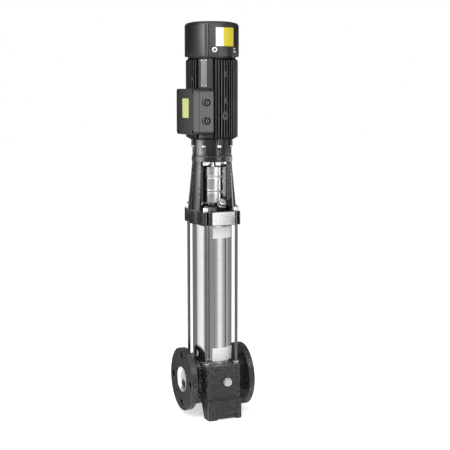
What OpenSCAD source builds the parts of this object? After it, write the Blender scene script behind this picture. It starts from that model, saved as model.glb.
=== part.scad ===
// Vertical in-line multistage pump with a flange-mounted electric motor on top.
// Millimetres, +Z up. The origin is on the pump's axis at the underside of its feet.
// The suction port faces -X, the discharge port +X and the drain plug -Y.
// Angles round the axis are counted from -Y towards +X.

/* [Base] */
// Height of the feet, up to the ledge of the block
foot_h = 48; // [40:1:56]
// Width of the feet along X
foot_w = 94; // [84:1:104]
// Depth of the whole foot along Y
foot_d = 184; // [176:1:200]
// Depth of one foot where it meets the floor
foot_pad_d = 32; // [26:1:38]
// How far the middle of each foot is raised between its corner pads
foot_relief = 3; // [1:0.5:6]
// Width of the base block along X
block_w = 98; // [90:1:106]
// Depth of the base block along Y
block_d = 160; // [154:1:170]
// Height of the base's top deck above the floor
deck_z = 140; // [132:1:150]
// Radius of the corners of the base block and the feet
block_corner_r = 7; // [3:1:9]
// Radius of the round collar that the sleeve stands in
collar_r = 57; // [55:0.5:62]
// Distance between the foot bolts along X
foot_bolt_x = 66; // [56:1:70]
// Distance between the foot bolts along Y
foot_bolt_y = 156; // [148:1:160]
// Radius of the tapped foot bolt holes
foot_bolt_r = 5.1; // [4:0.1:6.5]
// Place of the drain plug along X
drain_x = 9; // [0:1:14]
// Height of the drain plug's axis
drain_z = 97; // [90:1:104]

/* [Ports] */
// Distance between the faces of the two port flanges
port_span = 174; // [166:1:190]
// Outer diameter of the port flanges
flange_d = 165; // [155:1:170]
// Thickness of the port flanges
flange_t = 15; // [12:0.5:18]
// Bolt circle diameter of the port flanges
flange_pcd = 125; // [118:1:130]
// Diameter of the flange bolt holes
flange_hole_d = 18; // [14:0.5:20]
// Height of the port axis
port_z = 94; // [90:1:100]
// Diameter of the port mouth at the flange face
mouth_d = 66; // [58:1:72]
// Diameter of the throat in the port liner
throat_d = 28; // [22:1:32]
// How far the throat lies below the port axis
throat_drop = 15; // [10:0.5:17]

/* [Sleeve and tie rods] */
// Outer diameter of the stainless outer sleeve
sleeve_d = 103; // [98:1:106]
// Wall of the outer sleeve
sleeve_wall = 2; // [1.5:0.1:3]
// Diameter of the tie rods
rod_d = 8; // [6:0.5:10]
// Place of a tie rod along X from the axis
rod_x = 42; // [41:0.5:46]
// Place of a tie rod along Y from the axis
rod_y = 62; // [60:0.5:66]
// Radius of the ears that the tie rods pass through
ear_r = 10.5; // [9:0.5:12]
// Width across flats of the tie rod nuts
nut_af = 12.5; // [11:0.5:14]
// Height of the tie rod nuts
nut_h = 9; // [6:0.5:12]

/* [Stages] */
// Number of stages that the sleeve holds
stage_count = 6; // [6]
// Height of one stage
stage_pitch = 50; // [44:0.5:60]
// Room in the sleeve between the last stage and the pump head
top_room = 47; // [40:1:140]
// Outer diameter of a stage chamber
chamber_d = 84; // [78:1:90]
// Wall of a stage chamber
chamber_wall = 1.6; // [1.2:0.1:3]
// Outer diameter of an impeller
impeller_d = 72; // [66:1:74]
// Inner diameter of an impeller's eye
eye_d = 34; // [30:1:38]
// Number of vanes in an impeller
impeller_vanes = 6; // [5:1:8]
// Number of return vanes in a stage chamber
return_vanes = 6; // [5:1:8]
// Thickness of all vanes and impeller plates
plate_t = 1.8; // [1.2:0.1:2.5]
// Diameter of the pump shaft
shaft_d = 16; // [14:0.5:18]

/* [Pump head and motor stool] */
// Height of the ring at the foot of the motor stool
ring_h = 35; // [30:1:40]
// Outer radius of the ring, apart from its ears
ring_r = 60; // [59:0.5:64]
// Height of the motor stool above its ring
stool_h = 139.5; // [136:0.5:160]
// Height of the top ring of the motor stool
stool_top_h = 14.5; // [10:0.5:18]
// Outer radius of the stool's top ring
stool_top_r = 52.6; // [51:0.1:54]
// Outer radius of the ribs on the legs where they meet the ring
rib_foot_r = 64.6; // [60:0.2:68]
// Half of the angle that a stool window spans
window_half = 49; // [40:1:54]
// Turn of the stool's legs about the axis
stool_turn = -6; // [-12:1:0]
// Height of the pump head's dome above the ring's top
dome_h = 10; // [4:1:14]
// Outer radius of the split coupling
coupling_r = 30; // [24:0.5:30]
// Length of the split coupling
coupling_len = 92; // [80:1:94]

/* [Motor] */
// Height of the motor's end shield neck
neck_h = 42; // [38:1:50]
// Outer radius of the end shield neck
neck_r = 50.5; // [49.5:0.1:52]
// Length of the finned stator housing
housing_len = 206; // [190:1:240]
// Radius over the cooling fins
fin_r = 66.7; // [64:0.1:70]
// Radius at the root of the cooling fins
root_r = 57; // [55.5:0.1:60]
// Thickness of a cooling fin
fin_t = 2.6; // [1.6:0.1:3.4]
// Number of fin places round the housing
fin_count = 54; // [44:1:60]
// Bore radius of the stator housing
bore_r = 50; // [46:0.5:52]
// Outer radius of the fan cowl
cowl_r = 69.2; // [68.5:0.1:74]
// Height of the fan cowl
cowl_h = 88; // [80:1:100]
// Wall of the fan cowl
cowl_wall = 2; // [1.5:0.1:3]
// Gap between the housing's top and the fan cowl
cowl_gap = 4; // [2:0.5:6]
// Diameter of the motor shaft in the coupling
motor_shaft_d = 19; // [18:0.5:24]
// Number of fan blades
fan_blades = 9; // [7:1:12]

/* [Terminal box] */
// Width of the terminal box lid along Y
lid_w = 123; // [112:1:126]
// Height of the terminal box lid
lid_h = 116; // [106:1:126]
// Depth of the terminal box lid
lid_t = 15; // [12:0.5:20]
// Distance from the axis to the front of the lid
lid_front = 74; // [73:0.5:80]
// Height of the box's middle above the bottom of the housing
box_rise = 71; // [66:1:76]
// Wall of the terminal box and its lid
box_wall = 4; // [3:0.5:5]
// Diameter of the cable entry plugs
gland_d = 24; // [20:0.5:27]

/* [Vent screw] */
// Lean of the vent screw from upright
vent_lean = 24; // [15:1:30]
// Travel of the vent screw when it is opened
vent_travel = 3; // [1:0.5:4]

/* [Hidden] */
$fn = 96;

// Running clearance of a shaft in its bore, and of a piece pressed or slid on its seat
run_gap = 0.06;
seat_gap = 0.03;
// Clearance between pieces that pass each other
pass_gap = 0.4;
// Overlap that makes a cut run past a face
cut = 1;
// How much wider the discharge flange's bolt holes are than the suction flange's
hole_step = 0.4;

black = [0.10, 0.10, 0.11];
steel = [0.78, 0.79, 0.80];
dull = [0.55, 0.56, 0.58];
copper = [0.72, 0.42, 0.22];
brass = [0.80, 0.66, 0.34];
rubber = [0.06, 0.06, 0.06];

// Heights of the stack: the sleeve is as long as its stages and the room round them
stack_z = deck_z + 18;
stack_top = stack_z + stage_count * stage_pitch;
ring_z = stack_top + top_room;
ring_top = ring_z + ring_h;
stool_top = ring_top + stool_h;
housing_z = stool_top + neck_h;
housing_top = housing_z + housing_len;
cowl_z = housing_top + cowl_gap;

// Sleeve seat
sleeve_r = sleeve_d / 2;
sleeve_bore = sleeve_r - sleeve_wall;
sleeve_seat = 6;
spigot_r = sleeve_bore - pass_gap;
spigot_wall = 3;
annulus_r = spigot_r - spigot_wall;
groove_half = 1.7;
groove_floor = spigot_r - 2.4;
o_ring_r = (sleeve_bore - groove_floor) / 2 - 0.05;

// Passages in the base
liner_depth = 12;
throat_z = port_z - throat_drop;
passage_r = 17;
well_r = 24;
well_floor = throat_z - passage_r;
well_wall = 7;
well_top = deck_z - 8;
annulus_floor = throat_z + passage_r + 8;

// Stage stack
chamber_r = chamber_d / 2;
chamber_bore = chamber_r - chamber_wall;
impeller_r = impeller_d / 2;
eye_r = eye_d / 2;
eye_neck_r = eye_r + plate_t;
hub_r = 11;
shaft_r = shaft_d / 2;
// Heights within one stage
impeller_lift = 5;
vane_h = 9;
guide_z = impeller_lift + plate_t + vane_h + plate_t + 3;

// Pump head and seal
head_plug_h = 12;
head_flange_h = 20;
head_flange_r = sleeve_r + 4.5;
head_lip = 6;
dome_top = ring_top + dome_h;
dome_foot_r = 41;
dome_top_r = 30;
seal_r = 17;
cover_r = 26;
cover_t = 4.5;

// Coupling and shafts
coupling_top = stool_top - stool_top_h - 13;
coupling_z = coupling_top - coupling_len;
coupling_mid = coupling_z + coupling_len * 0.46;
coupling_turn = -22;
coupling_split = 0.6;
lug_reach = 6;
lug_half = 6.5;
lug_foot = 14;
screw_hole_r = 3.2;
spot_r = 4.5;
spot_depth = 0.5;
motor_shaft_r = motor_shaft_d / 2;
core_shaft_r = 12;
de_seat_r = 10;
nde_seat_r = 7.5;

// Bearings: outer radius, width and foot height of each
de_bearing_r = 21;
de_bearing_w = 13;
de_bearing_z = stool_top + 12;
nde_bearing_r = 17.5;
nde_bearing_w = 11;
nde_bearing_z = housing_top + 1;
// Share of the ball track that the balls fill, the cage's rim below them and its clearance
ball_fill = 0.78;
cage_rim = 1.2;
cage_gap = 0.1;

// Height of the end shield's bolt seats above its foot
shield_bolt_rise = 27;

// Stator
core_len = housing_len - 46;
core_z = housing_z + 23;
rotor_r = 30;
air_gap = 0.6;
boss_rise = 61;

// Terminal box
box_z = housing_z + box_rise;
gasket_t = 1;
lid_back = lid_front - lid_t;
box_front = lid_back - gasket_t;
box_back = 20;
box_w = lid_w - 2;
box_h = lid_h - 4;
lid_post_y = lid_w / 2 - 8;
lid_post_z = lid_h / 2 - 8;
lid_seat = 7;
gland_x = 38;
gland_step = 46;
block_y = 56;
block_h = 44;
block_front = lid_front - 9;

// Fan cowl
cowl_screw_mid = 8;
cowl_screw_spread = 24;
cowl_screw_rise = 15;
flute_angle = -32;
lug_r = cowl_r - cowl_wall - pass_gap;

// Vent screw
vent_r = 36;
vent_z = ring_top - 6;
vent_seat = 20;
vent_boss_r = 9.6;
vent_hex = 20;
vent_angle = 12;

// Building blocks
module at_angle(a, r) rotate([0, 0, a]) translate([0, -r, 0]) children();

module tube(z0, z1, r_out, r_in) {
    translate([0, 0, z0]) difference() {
        cylinder(h = z1 - z0, r = r_out);
        translate([0, 0, -cut]) cylinder(h = z1 - z0 + 2 * cut, r = r_in);
    }
}

module hex_prism(af, h) cylinder(h = h, d = af / cos(30), $fn = 6);

module round_rect(w, d, r) {
    square([w - 2 * r, d], center = true);
    square([w, d - 2 * r], center = true);
    for (sx = [-1, 1], sy = [-1, 1])
        translate([sx * (w / 2 - r), sy * (d / 2 - r)]) circle(r = r);
}

module round_block(w, d, h, r) linear_extrude(h) round_rect(w, d, r);

// A plate on edge: its outline lies in YZ and its thickness runs along X
module edge_block(x0, x1, w, h, r) {
    translate([x0, 0, 0]) rotate([90, 0, 90]) linear_extrude(x1 - x0) round_rect(w, h, r);
}

module each_rod() {
    for (sx = [-1, 1], sy = [-1, 1]) translate([sx * rod_x, sy * rod_y, 0]) children();
}

module ring_outline() {
    circle(r = ring_r);
    round_rect(2 * (rod_x + ear_r), 2 * (rod_y + ear_r), ear_r);
}

// Base
module foot(side) {
    foot_y = foot_d / 2;
    arch_top = foot_h + 6;
    mirror([0, side < 0 ? 0 : 1, 0]) difference() {
        translate([-foot_w / 2, 0, 0]) rotate([90, 0, 90]) linear_extrude(foot_w)
            polygon([[-foot_y, 0], [-foot_y + foot_pad_d, 0], [-34, arch_top],
                [-foot_y + 9, arch_top], [-foot_y, foot_h]]);
        for (sx = [-1, 1]) translate([sx * foot_w / 2, -foot_y, -cut]) rotate([0, 0, sx > 0 ? 90 : 0])
            difference() {
                translate([-cut, -cut, 0])
                    cube([block_corner_r + cut, block_corner_r + cut, arch_top + 3 * cut]);
                translate([block_corner_r, block_corner_r, -cut])
                    cylinder(h = arch_top + 5 * cut, r = block_corner_r);
            }
        translate([-foot_w / 2 + 24, -foot_y - cut, -cut])
            cube([foot_w - 42, foot_pad_d + 40, foot_relief + cut]);
    }
}

module base_casting() {
    neck_x = port_span / 2 - flange_t;
    neck_h = deck_z - foot_h - 4;
    color(black) difference() {
        union() {
            foot(-1);
            foot(1);
            translate([0, 0, foot_h - 2]) round_block(block_w, block_d, deck_z - foot_h + 2, block_corner_r);
            each_rod() {
                translate([0, 0, deck_z - 30]) cylinder(h = 30, r = ear_r);
                translate([0, 0, deck_z - 48]) cylinder(h = 18.1, r1 = ear_r - 6, r2 = ear_r);
            }
            translate([0, 0, foot_h + 10]) cylinder(h = deck_z - foot_h - 10, r = collar_r);
            tube(deck_z - cut, deck_z + sleeve_seat, spigot_r, annulus_r);
            for (side = [-1, 1]) {
                translate([0, 0, foot_h + 4 + neck_h / 2])
                    edge_block(side < 0 ? -neck_x - cut : 0, side < 0 ? 0 : neck_x + cut,
                        flange_pcd - flange_hole_d - 18, neck_h, 16);
                translate([0, 0, foot_h + 4 + neck_h / 2])
                    edge_block(side < 0 ? -block_w / 2 - 9 : 0, side < 0 ? 0 : block_w / 2 + 9,
                        flange_pcd - flange_hole_d, neck_h - 5, 20);
                translate([side * (port_span / 2 - flange_t / 2), 0, port_z]) rotate([0, 90, 0])
                    cylinder(h = flange_t, d = flange_d, center = true);
            }
            translate([drain_x, -block_d / 2 - 2, drain_z]) rotate([-90, 0, 0]) cylinder(h = 12, r = 13);
        }
        // Sleeve seat, return annulus and suction well
        tube(deck_z - sleeve_seat, deck_z + cut, sleeve_r + 0.25, spigot_r);
        tube(deck_z + 2 - groove_half, deck_z + 2 + groove_half, spigot_r + cut, groove_floor);
        tube(annulus_floor, deck_z + cut, annulus_r, well_r + well_wall);
        translate([0, 0, well_floor]) cylinder(h = deck_z, r = well_r + seat_gap);
        translate([0, 0, well_top]) cylinder(h = deck_z, r = well_r + well_wall + cut);
        for (side = [-1, 1]) {
            // Port mouth, its dark rim groove and the passage behind the throat
            translate([side * port_span / 2, 0, port_z]) rotate([0, 90, 0])
                cylinder(h = 2 * liner_depth, d = mouth_d + 1, center = true);
            translate([side * port_span / 2, 0, port_z]) rotate([0, 90, 0])
                cylinder(h = 4, d = mouth_d + 8, center = true);
            translate([side < 0 ? -port_span / 2 : well_r + well_wall, 0, throat_z]) rotate([0, 90, 0])
                cylinder(h = port_span / 2 - (side < 0 ? 0 : well_r + well_wall), r = passage_r);
            for (a = [0:90:270]) translate([side * port_span / 2, 0, port_z]) rotate([a, 0, 0])
                translate([0, 0, flange_pcd / 2]) rotate([0, 90, 0])
                    cylinder(h = 3 * flange_t, d = flange_hole_d + (side > 0 ? hole_step : 0), center = true);
        }
        // Rise from the discharge passage into the annulus
        intersection() {
            tube(throat_z, annulus_floor + cut, annulus_r, well_r + well_wall);
            translate([0, -passage_r, throat_z]) cube([annulus_r + cut, 2 * passage_r, deck_z]);
        }
        each_rod() translate([0, 0, deck_z - 24]) cylinder(h = 30, d = rod_d + 2 * seat_gap);
        for (sx = [-1, 1], sy = [-1, 1])
            translate([sx * foot_bolt_x / 2, sy * foot_bolt_y / 2, -cut])
                cylinder(h = 24 + cut, r = foot_bolt_r);
        // Tapped drain hole
        translate([drain_x, -block_d / 2 - 3, drain_z]) rotate([-90, 0, 0])
            cylinder(h = 24, r = 6.5 + seat_gap);
    }
}

// Polished liners in the two port mouths, each with its throat low in a shallow dish
module port_liners() {
    lip = 1.6;
    dish = 5;
    color(steel) for (side = [-1, 1]) mirror([side < 0 ? 1 : 0, 0, 0])
        translate([port_span / 2 - 0.2, 0, port_z]) rotate([0, -90, 0]) difference() {
            rotate_extrude() polygon([[0, 0], [mouth_d / 2, 0], [mouth_d / 2, liner_depth - 0.4],
                [mouth_d / 2 - 2 * lip, liner_depth - 0.4], [0, liner_depth - 0.4]]);
            translate([0, 0, -cut]) rotate_extrude() polygon([[0, 0], [mouth_d / 2 - lip, 0],
                [mouth_d / 2 - lip, cut], [mouth_d / 2 - 8, dish + cut], [0, dish + cut]]);
            translate([-throat_drop, 0, -cut]) cylinder(h = liner_depth + 2 * cut, d = throat_d);
        }
}

module drain_plug() {
    face_y = -block_d / 2 - 2;
    color(steel) translate([drain_x, face_y, drain_z]) rotate([90, 0, 0]) difference() {
        union() {
            translate([0, 0, 0.05]) cylinder(h = 1.6, r = 11);
            translate([0, 0, 1.6]) rotate([0, 0, 30]) hex_prism(18, 6);
            translate([0, 0, 7]) cylinder(h = 3, r = 5.5);
            translate([0, 0, -18]) cylinder(h = 19, r = 6.5);
        }
        translate([0, 0, 8]) hex_prism(5, 5);
    }
}

// Sleeve, seals and tie rods
module o_ring(z) {
    translate([0, 0, z]) rotate_extrude()
        translate([groove_floor + 0.05 + o_ring_r, 0]) circle(r = o_ring_r, $fn = 24);
}

module sleeve_o_rings() {
    color(rubber) {
        o_ring(deck_z + 2);
        o_ring(ring_z - head_plug_h / 2);
    }
}

module outer_sleeve() {
    color(steel) tube(deck_z - sleeve_seat, ring_z, sleeve_r, sleeve_bore);
}

module tie_rods() {
    color(steel) each_rod() translate([0, 0, deck_z - 23])
        cylinder(h = ring_top + 15 - deck_z + 23, d = rod_d);
}

module nut(z, af, h, hole_d) {
    translate([0, 0, z]) difference() {
        intersection() {
            hex_prism(af, h);
            rotate_extrude() polygon([[0, 0], [af / 2 - 0.3, 0], [af / 2 + 1.2, 1.2],
                [af / 2 + 1.2, h - 1.6], [af / 2 - 0.6, h], [0, h]]);
        }
        translate([0, 0, -cut]) cylinder(h = h + 2 * cut, d = hole_d);
    }
}

module rod_nuts() {
    color(steel) each_rod() {
        nut(ring_top + 1.9, nut_af, nut_h, rod_d + 2 * seat_gap);
        nut(deck_z + 0.05, nut_af, nut_h * 0.6, rod_d + 2 * seat_gap);
    }
}

module rod_washers() {
    color(steel) each_rod() tube(ring_top + 0.05, ring_top + 1.85, nut_af / 2 + 1.2, rod_d / 2 + 0.25);
}

// Hydraulic stages
module vane(r_in, r_out, h, sweep, t) {
    // A backward-curved vane: a circular arc wall from r_in to r_out
    bow = (r_in + r_out) * 0.62;
    intersection() {
        translate([bow * cos(sweep), bow * sin(sweep), 0]) difference() {
            cylinder(h = h, r = bow + t / 2);
            translate([0, 0, -cut]) cylinder(h = h + 2 * cut, r = bow - t / 2);
        }
        difference() {
            cylinder(h = h, r = r_out);
            translate([0, 0, -cut]) cylinder(h = h + 2 * cut, r = r_in);
        }
        rotate([0, 0, sweep - 90]) translate([-r_out, -r_out * 0.15, 0]) cube([r_out, 1.3 * r_out, h]);
    }
}

module suction_chamber() {
    top_z = stack_z - 0.05;
    color(dull) difference() {
        union() {
            rotate_extrude() polygon([
                [well_r - 2, well_top - 26], [well_r, well_top - 26], [well_r, well_top + 6],
                [chamber_r, top_z - 9], [chamber_r, top_z], [chamber_bore, top_z],
                [chamber_bore, top_z - 8.2], [well_r - 2, well_top + 6.8]]);
            tube(well_top + 0.05, well_top + 2, well_r + well_wall - 1, well_r - cut);
            tube(well_top - 16, well_top - 2, hub_r + 3, hub_r + run_gap);
            for (a = [0:120:240]) rotate([0, 0, a]) translate([hub_r + 2, -1, well_top - 14])
                cube([well_r - hub_r - 3, 2, 10]);
        }
        translate([0, 0, well_top - 30]) cylinder(h = 60, r = hub_r + run_gap);
    }
}

module stage_chamber(index) {
    z0 = stack_z + (index - 1) * stage_pitch;
    guide_h = stage_pitch - guide_z - plate_t / 2 - 0.6;
    color(dull) translate([0, 0, z0]) difference() {
        union() {
            difference() {
                cylinder(h = stage_pitch - 0.05, r = chamber_r);
                translate([0, 0, plate_t]) cylinder(h = stage_pitch, r = chamber_bore);
            }
            translate([0, 0, guide_z]) cylinder(h = plate_t, r = chamber_bore - 4);
            for (i = [0:return_vanes - 1]) rotate([0, 0, i * 360 / return_vanes])
                translate([0, 0, guide_z + plate_t / 2])
                    vane(hub_r + 7, chamber_bore + 0.6, guide_h, 55, plate_t);
        }
        translate([0, 0, -cut]) cylinder(h = plate_t + 2 * cut, r = eye_neck_r + pass_gap);
        translate([0, 0, plate_t + cut]) cylinder(h = stage_pitch, r = hub_r + 2);
    }
}

module top_chamber() {
    z0 = stack_top;
    z1 = ring_z - head_plug_h - 0.3;
    color(dull) difference() {
        union() {
            tube(z0, z0 + 3, chamber_r, hub_r + run_gap);
            tube(z0, z1, hub_r + 4, hub_r + run_gap);
            for (a = [0:60:300]) rotate([0, 0, a]) translate([chamber_bore - 7, -1.5, z0 + cut])
                cube([7, 3, z1 - z0 - cut]);
            tube(z1 - 3, z1, chamber_r, chamber_bore - 8);
        }
        for (a = [30:60:330]) rotate([0, 0, a]) translate([(hub_r + chamber_r) / 2 + 2, 0, z0 - cut])
            cylinder(h = 5, r = 8);
    }
}

module pump_shaft() {
    color(steel) translate([0, 0, well_top - 34]) cylinder(h = coupling_mid - 1 - well_top + 34, r = shaft_r);
}

module impeller(index) {
    z0 = stack_z + (index - 1) * stage_pitch + impeller_lift;
    back_z = plate_t + vane_h;
    color(dull) translate([0, 0, z0]) difference() {
        union() {
            // Shroud with its eye neck, back plate and hub
            rotate_extrude() polygon([[eye_r, -impeller_lift - 0.6], [eye_neck_r, -impeller_lift - 0.6],
                [eye_neck_r, -0.8], [eye_neck_r + 0.8, 0], [impeller_r, 0], [impeller_r, plate_t],
                [eye_r + 0.8, plate_t], [eye_r, plate_t - 0.8]]);
            translate([0, 0, back_z]) cylinder(h = plate_t, r = impeller_r);
            translate([0, 0, -2]) cylinder(h = back_z + plate_t + 4, r = hub_r);
            for (i = [0:impeller_vanes - 1]) rotate([0, 0, i * 360 / impeller_vanes])
                translate([0, 0, plate_t / 2])
                    vane(eye_r + 1.4, impeller_r - 0.4, vane_h + plate_t, 62, plate_t);
        }
        translate([0, 0, -20]) cylinder(h = 60, r = shaft_r + seat_gap);
    }
}

module stage_spacers() {
    hub_foot = impeller_lift - 2;
    hub_top = impeller_lift + 2 * plate_t + vane_h + 2;
    color(steel) {
        for (i = [0:stage_count - 2]) translate([0, 0, stack_z + i * stage_pitch])
            tube(hub_top + 0.05, stage_pitch + hub_foot - 0.05, hub_r, shaft_r + seat_gap);
        tube(stack_top - stage_pitch + hub_top + 0.05, ring_z - 12, hub_r, shaft_r + seat_gap);
        tube(well_top - 18, stack_z + hub_foot - 0.05, hub_r, shaft_r + seat_gap);
    }
}

module shaft_nut() {
    color(steel) nut(well_top - 28, 22, 9.9, 2 * (shaft_r + seat_gap));
}

// Pump head and shaft seal
module pump_head() {
    color(black) difference() {
        union() {
            rotate_extrude() polygon([[seal_r + 2, ring_z - head_plug_h], [spigot_r, ring_z - head_plug_h],
                [spigot_r, ring_z + 0.05], [head_flange_r, ring_z + 0.05],
                [head_flange_r, ring_z + head_flange_h - 0.05], [dome_foot_r, ring_z + head_flange_h - 0.05],
                [dome_foot_r, ring_top - 8], [dome_top_r + 3, dome_top - 3], [dome_top_r, dome_top],
                [seal_r, dome_top], [seal_r, ring_z - head_plug_h]]);
            vent_place() translate([0, 0, -10])
                cylinder(h = vent_seat + 10, r1 = vent_boss_r, r2 = vent_boss_r + 1.5);
        }
        translate([0, 0, ring_z - 40]) cylinder(h = 200, r = seal_r);
        tube(ring_z - head_plug_h / 2 - groove_half, ring_z - head_plug_h / 2 + groove_half,
            spigot_r + cut, groove_floor);
        vent_place() translate([0, 0, -30]) cylinder(h = 60, r = 6 + seat_gap);
    }
}

module seal_seat() {
    color([0.25, 0.25, 0.27]) tube(dome_top - 12, dome_top - 0.05, seal_r - seat_gap, hub_r + 1);
}

module seal_cover() {
    color(steel) difference() {
        tube(dome_top + 0.05, dome_top + cover_t, cover_r, shaft_r + 1.5);
        for (a = [45:90:315]) at_angle(a, cover_r - 5)
            translate([0, 0, dome_top - cut]) cylinder(h = 10, r = 2.6);
    }
}

module seal_screws() {
    color(steel) for (a = [45:90:315]) at_angle(a, cover_r - 5) translate([0, 0, dome_top]) difference() {
        union() {
            translate([0, 0, 0.1]) cylinder(h = cover_t + 0.2, r = 2.5);
            translate([0, 0, cover_t + 0.1]) cylinder(h = 3, r = 4);
        }
        translate([0, 0, cover_t + 1.4]) hex_prism(3.4, 4);
    }
}

module seal_rotor() {
    color(steel) {
        tube(dome_top - 20, dome_top - 12.05, 14, shaft_r + seat_gap);
        tube(ring_z - 11.95, ring_z - 4, 14, shaft_r + seat_gap);
    }
}

// Closed coils of the seal spring, stacked as rings round the shaft
module seal_spring() {
    spring_z = ring_z - 4;
    spring_top = dome_top - 20;
    turns = 6;
    pitch = (spring_top - spring_z - 2) / (turns - 1);
    color(steel) {
        for (i = [0:turns - 1]) translate([0, 0, spring_z + 1.02 + i * pitch])
            rotate_extrude() translate([12, 0]) circle(r = 1, $fn = 20);
        for (i = [0:turns - 2]) at_angle(i * 60, 12) translate([0, 0, spring_z + 1.02 + i * pitch])
            cylinder(h = pitch, r = 0.9);
    }
}

module vent_place() {
    at_angle(vent_angle, vent_r) translate([0, 0, vent_z]) rotate([vent_lean, 0, 0]) children();
}

module vent_plug() {
    color(steel) vent_place() translate([0, 0, vent_seat]) difference() {
        union() {
            translate([0, 0, 0.05]) cylinder(h = 1.5, r = vent_hex / 2 + 1);
            translate([0, 0, 1.5]) hex_prism(vent_hex, 8);
            translate([0, 0, -10]) cylinder(h = 11, r = 6);
        }
        translate([0, 0, -11]) cylinder(h = 40, r = 2.2);
        translate([0, 0, 3]) cylinder(h = 10, r = 3.1);
    }
}

module vent_needle() {
    color(steel) vent_place() translate([0, 0, vent_seat]) {
        translate([0, 0, -5 - vent_travel]) cylinder(h = 2.1, r1 = 0.6, r2 = 2.1);
        translate([0, 0, -3 - vent_travel]) cylinder(h = 6.4 + vent_travel, r = 2.1);
        translate([0, 0, 3.3]) cylinder(h = 14.2, r = 3);
    }
}

module vent_head() {
    color(steel) vent_place() translate([0, 0, vent_seat]) difference() {
        translate([0, 0, 9.9]) union() {
            hex_prism(13, 6.5);
            translate([0, 0, 6]) cylinder(h = 1.6, r = 5.4);
        }
        cylinder(h = 40, r = 3 + run_gap);
    }
}

// Motor stool: a ring on the pump head, two flared legs and the motor seat
module stool_shell(z0, z1, proud) {
    rotate_extrude() polygon([[44, z0], [57 + proud, z0], [stool_top_r - 3.2 + proud, z1], [42, z1]]);
}

// A slice of a round plate between two angles from -Y
module wedge(a0, a1, z0, z1) {
    reach = 2 * ring_r;
    translate([0, 0, z0]) linear_extrude(z1 - z0)
        polygon([[0, 0], [reach * sin(a0), -reach * cos(a0)], [reach * sin(a1), -reach * cos(a1)]]);
}

module stool_legs() {
    z0 = ring_top - 2;
    z1 = stool_top - stool_top_h + 2;
    bead = 5;
    difference() {
        stool_shell(z0, z1, 0);
        for (a = [0, 180]) rotate([0, 0, a])
            wedge(-window_half, window_half, ring_top, z1 - 2);
    }
    for (a = [0, 180], s = [-1, 1]) rotate([0, 0, a]) intersection() {
        stool_shell(z0, z1, 2.4);
        wedge(s > 0 ? window_half : -window_half - bead, s > 0 ? window_half + bead : -window_half, z0, z1);
    }
    for (a = [0, 180]) rotate([0, 0, a]) translate([0, 3.5, 0]) rotate([90, 0, 0]) linear_extrude(7)
        polygon([[46, z0], [rib_foot_r, z0], [rib_foot_r, ring_top + 2], [stool_top_r - 0.8, z1], [44, z1]]);
}

module motor_stool() {
    seat_z = ring_z + head_flange_h;
    color(black) difference() {
        union() {
            translate([0, 0, ring_z]) linear_extrude(ring_h) ring_outline();
            rotate([0, 0, stool_turn]) stool_legs();
            tube(stool_top - stool_top_h, stool_top, stool_top_r, 30);
        }
        translate([0, 0, ring_z - cut]) cylinder(h = head_flange_h + cut, r = head_flange_r + 0.25);
        translate([0, 0, seat_z - cut]) cylinder(h = ring_h, r = head_flange_r - head_lip);
        // Tie rods lie in slots that are open to the front and the back
        each_rod() translate([0, 0, ring_z - cut]) cylinder(h = ring_h + 2 * cut, d = rod_d + 1);
        for (sx = [-1, 1], sy = [-1, 1])
            translate([sx * rod_x - rod_d / 2 - 0.5, sy < 0 ? -rod_y - ear_r - cut : rod_y, ring_z - cut])
                cube([rod_d + 1, ear_r + cut, ring_h + 2 * cut]);
        flange_bolt_places() translate([0, 0, stool_top - 30]) cylinder(h = 40, r = 4.2);
    }
}

module flange_bolt_places() {
    for (base = [0, 180], s = [-1, 1]) at_angle(base + stool_turn + s * 35, 38) children();
}

module flange_bolts() {
    head_h = 5.5;
    color(steel) flange_bolt_places() translate([0, 0, stool_top - stool_top_h]) {
        translate([0, 0, -head_h - 0.05]) hex_prism(13, head_h);
        translate([0, 0, -1]) cylinder(h = stool_top_h + 10, r = 4);
    }
}

// Split coupling
// Profile of one band on the coupling: a groove below a raised ring
function band_points(z) = [[coupling_r, z - 3], [coupling_r - 1.2, z - 2.6], [coupling_r - 1.2, z - 0.6],
    [coupling_r, z], [coupling_r + 1.4, z + 1.4], [coupling_r + 1.4, z + 3.2], [coupling_r, z + 4.6]];

module coupling_body() {
    difference() {
        union() {
            rotate_extrude() polygon(concat([[0, coupling_z], [coupling_r, coupling_z]],
                band_points(coupling_z + coupling_len * 0.30), band_points(coupling_z + coupling_len * 0.71),
                [[coupling_r, coupling_top - 1.5], [coupling_r - 1.5, coupling_top], [0, coupling_top]]));
            // Clamping flanges, cut short below so that they clear the vent screw
            translate([-coupling_r - lug_reach, -lug_half, coupling_z + lug_foot])
                cube([2 * (coupling_r + lug_reach), 2 * lug_half, coupling_len - lug_foot - 2.5]);
        }
        translate([0, 0, coupling_z - cut]) cylinder(h = coupling_len, r = shaft_r + seat_gap);
        translate([0, 0, coupling_mid]) cylinder(h = coupling_len, r = motor_shaft_r + seat_gap);
        coupling_screw_places() {
            rotate([90, 0, 0]) cylinder(h = 60, r = screw_hole_r, center = true);
            for (a = [90, -90]) rotate([a, 0, 0]) translate([0, 0, lug_half - spot_depth])
                cylinder(h = 30, r = spot_r);
        }
    }
}

module coupling_screw_places() {
    for (sx = [-1, 1], k = [0.29, 0.58, 0.87])
        translate([sx * (coupling_r + 0.8), 0, coupling_z + coupling_len * k]) children();
}

module coupling_half(side) {
    color(steel) rotate([0, 0, coupling_turn]) intersection() {
        coupling_body();
        translate([-60, side < 0 ? -60 - coupling_split / 2 : coupling_split / 2, coupling_z - cut])
            cube([120, 60, coupling_len + 2 * cut]);
    }
}

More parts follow.
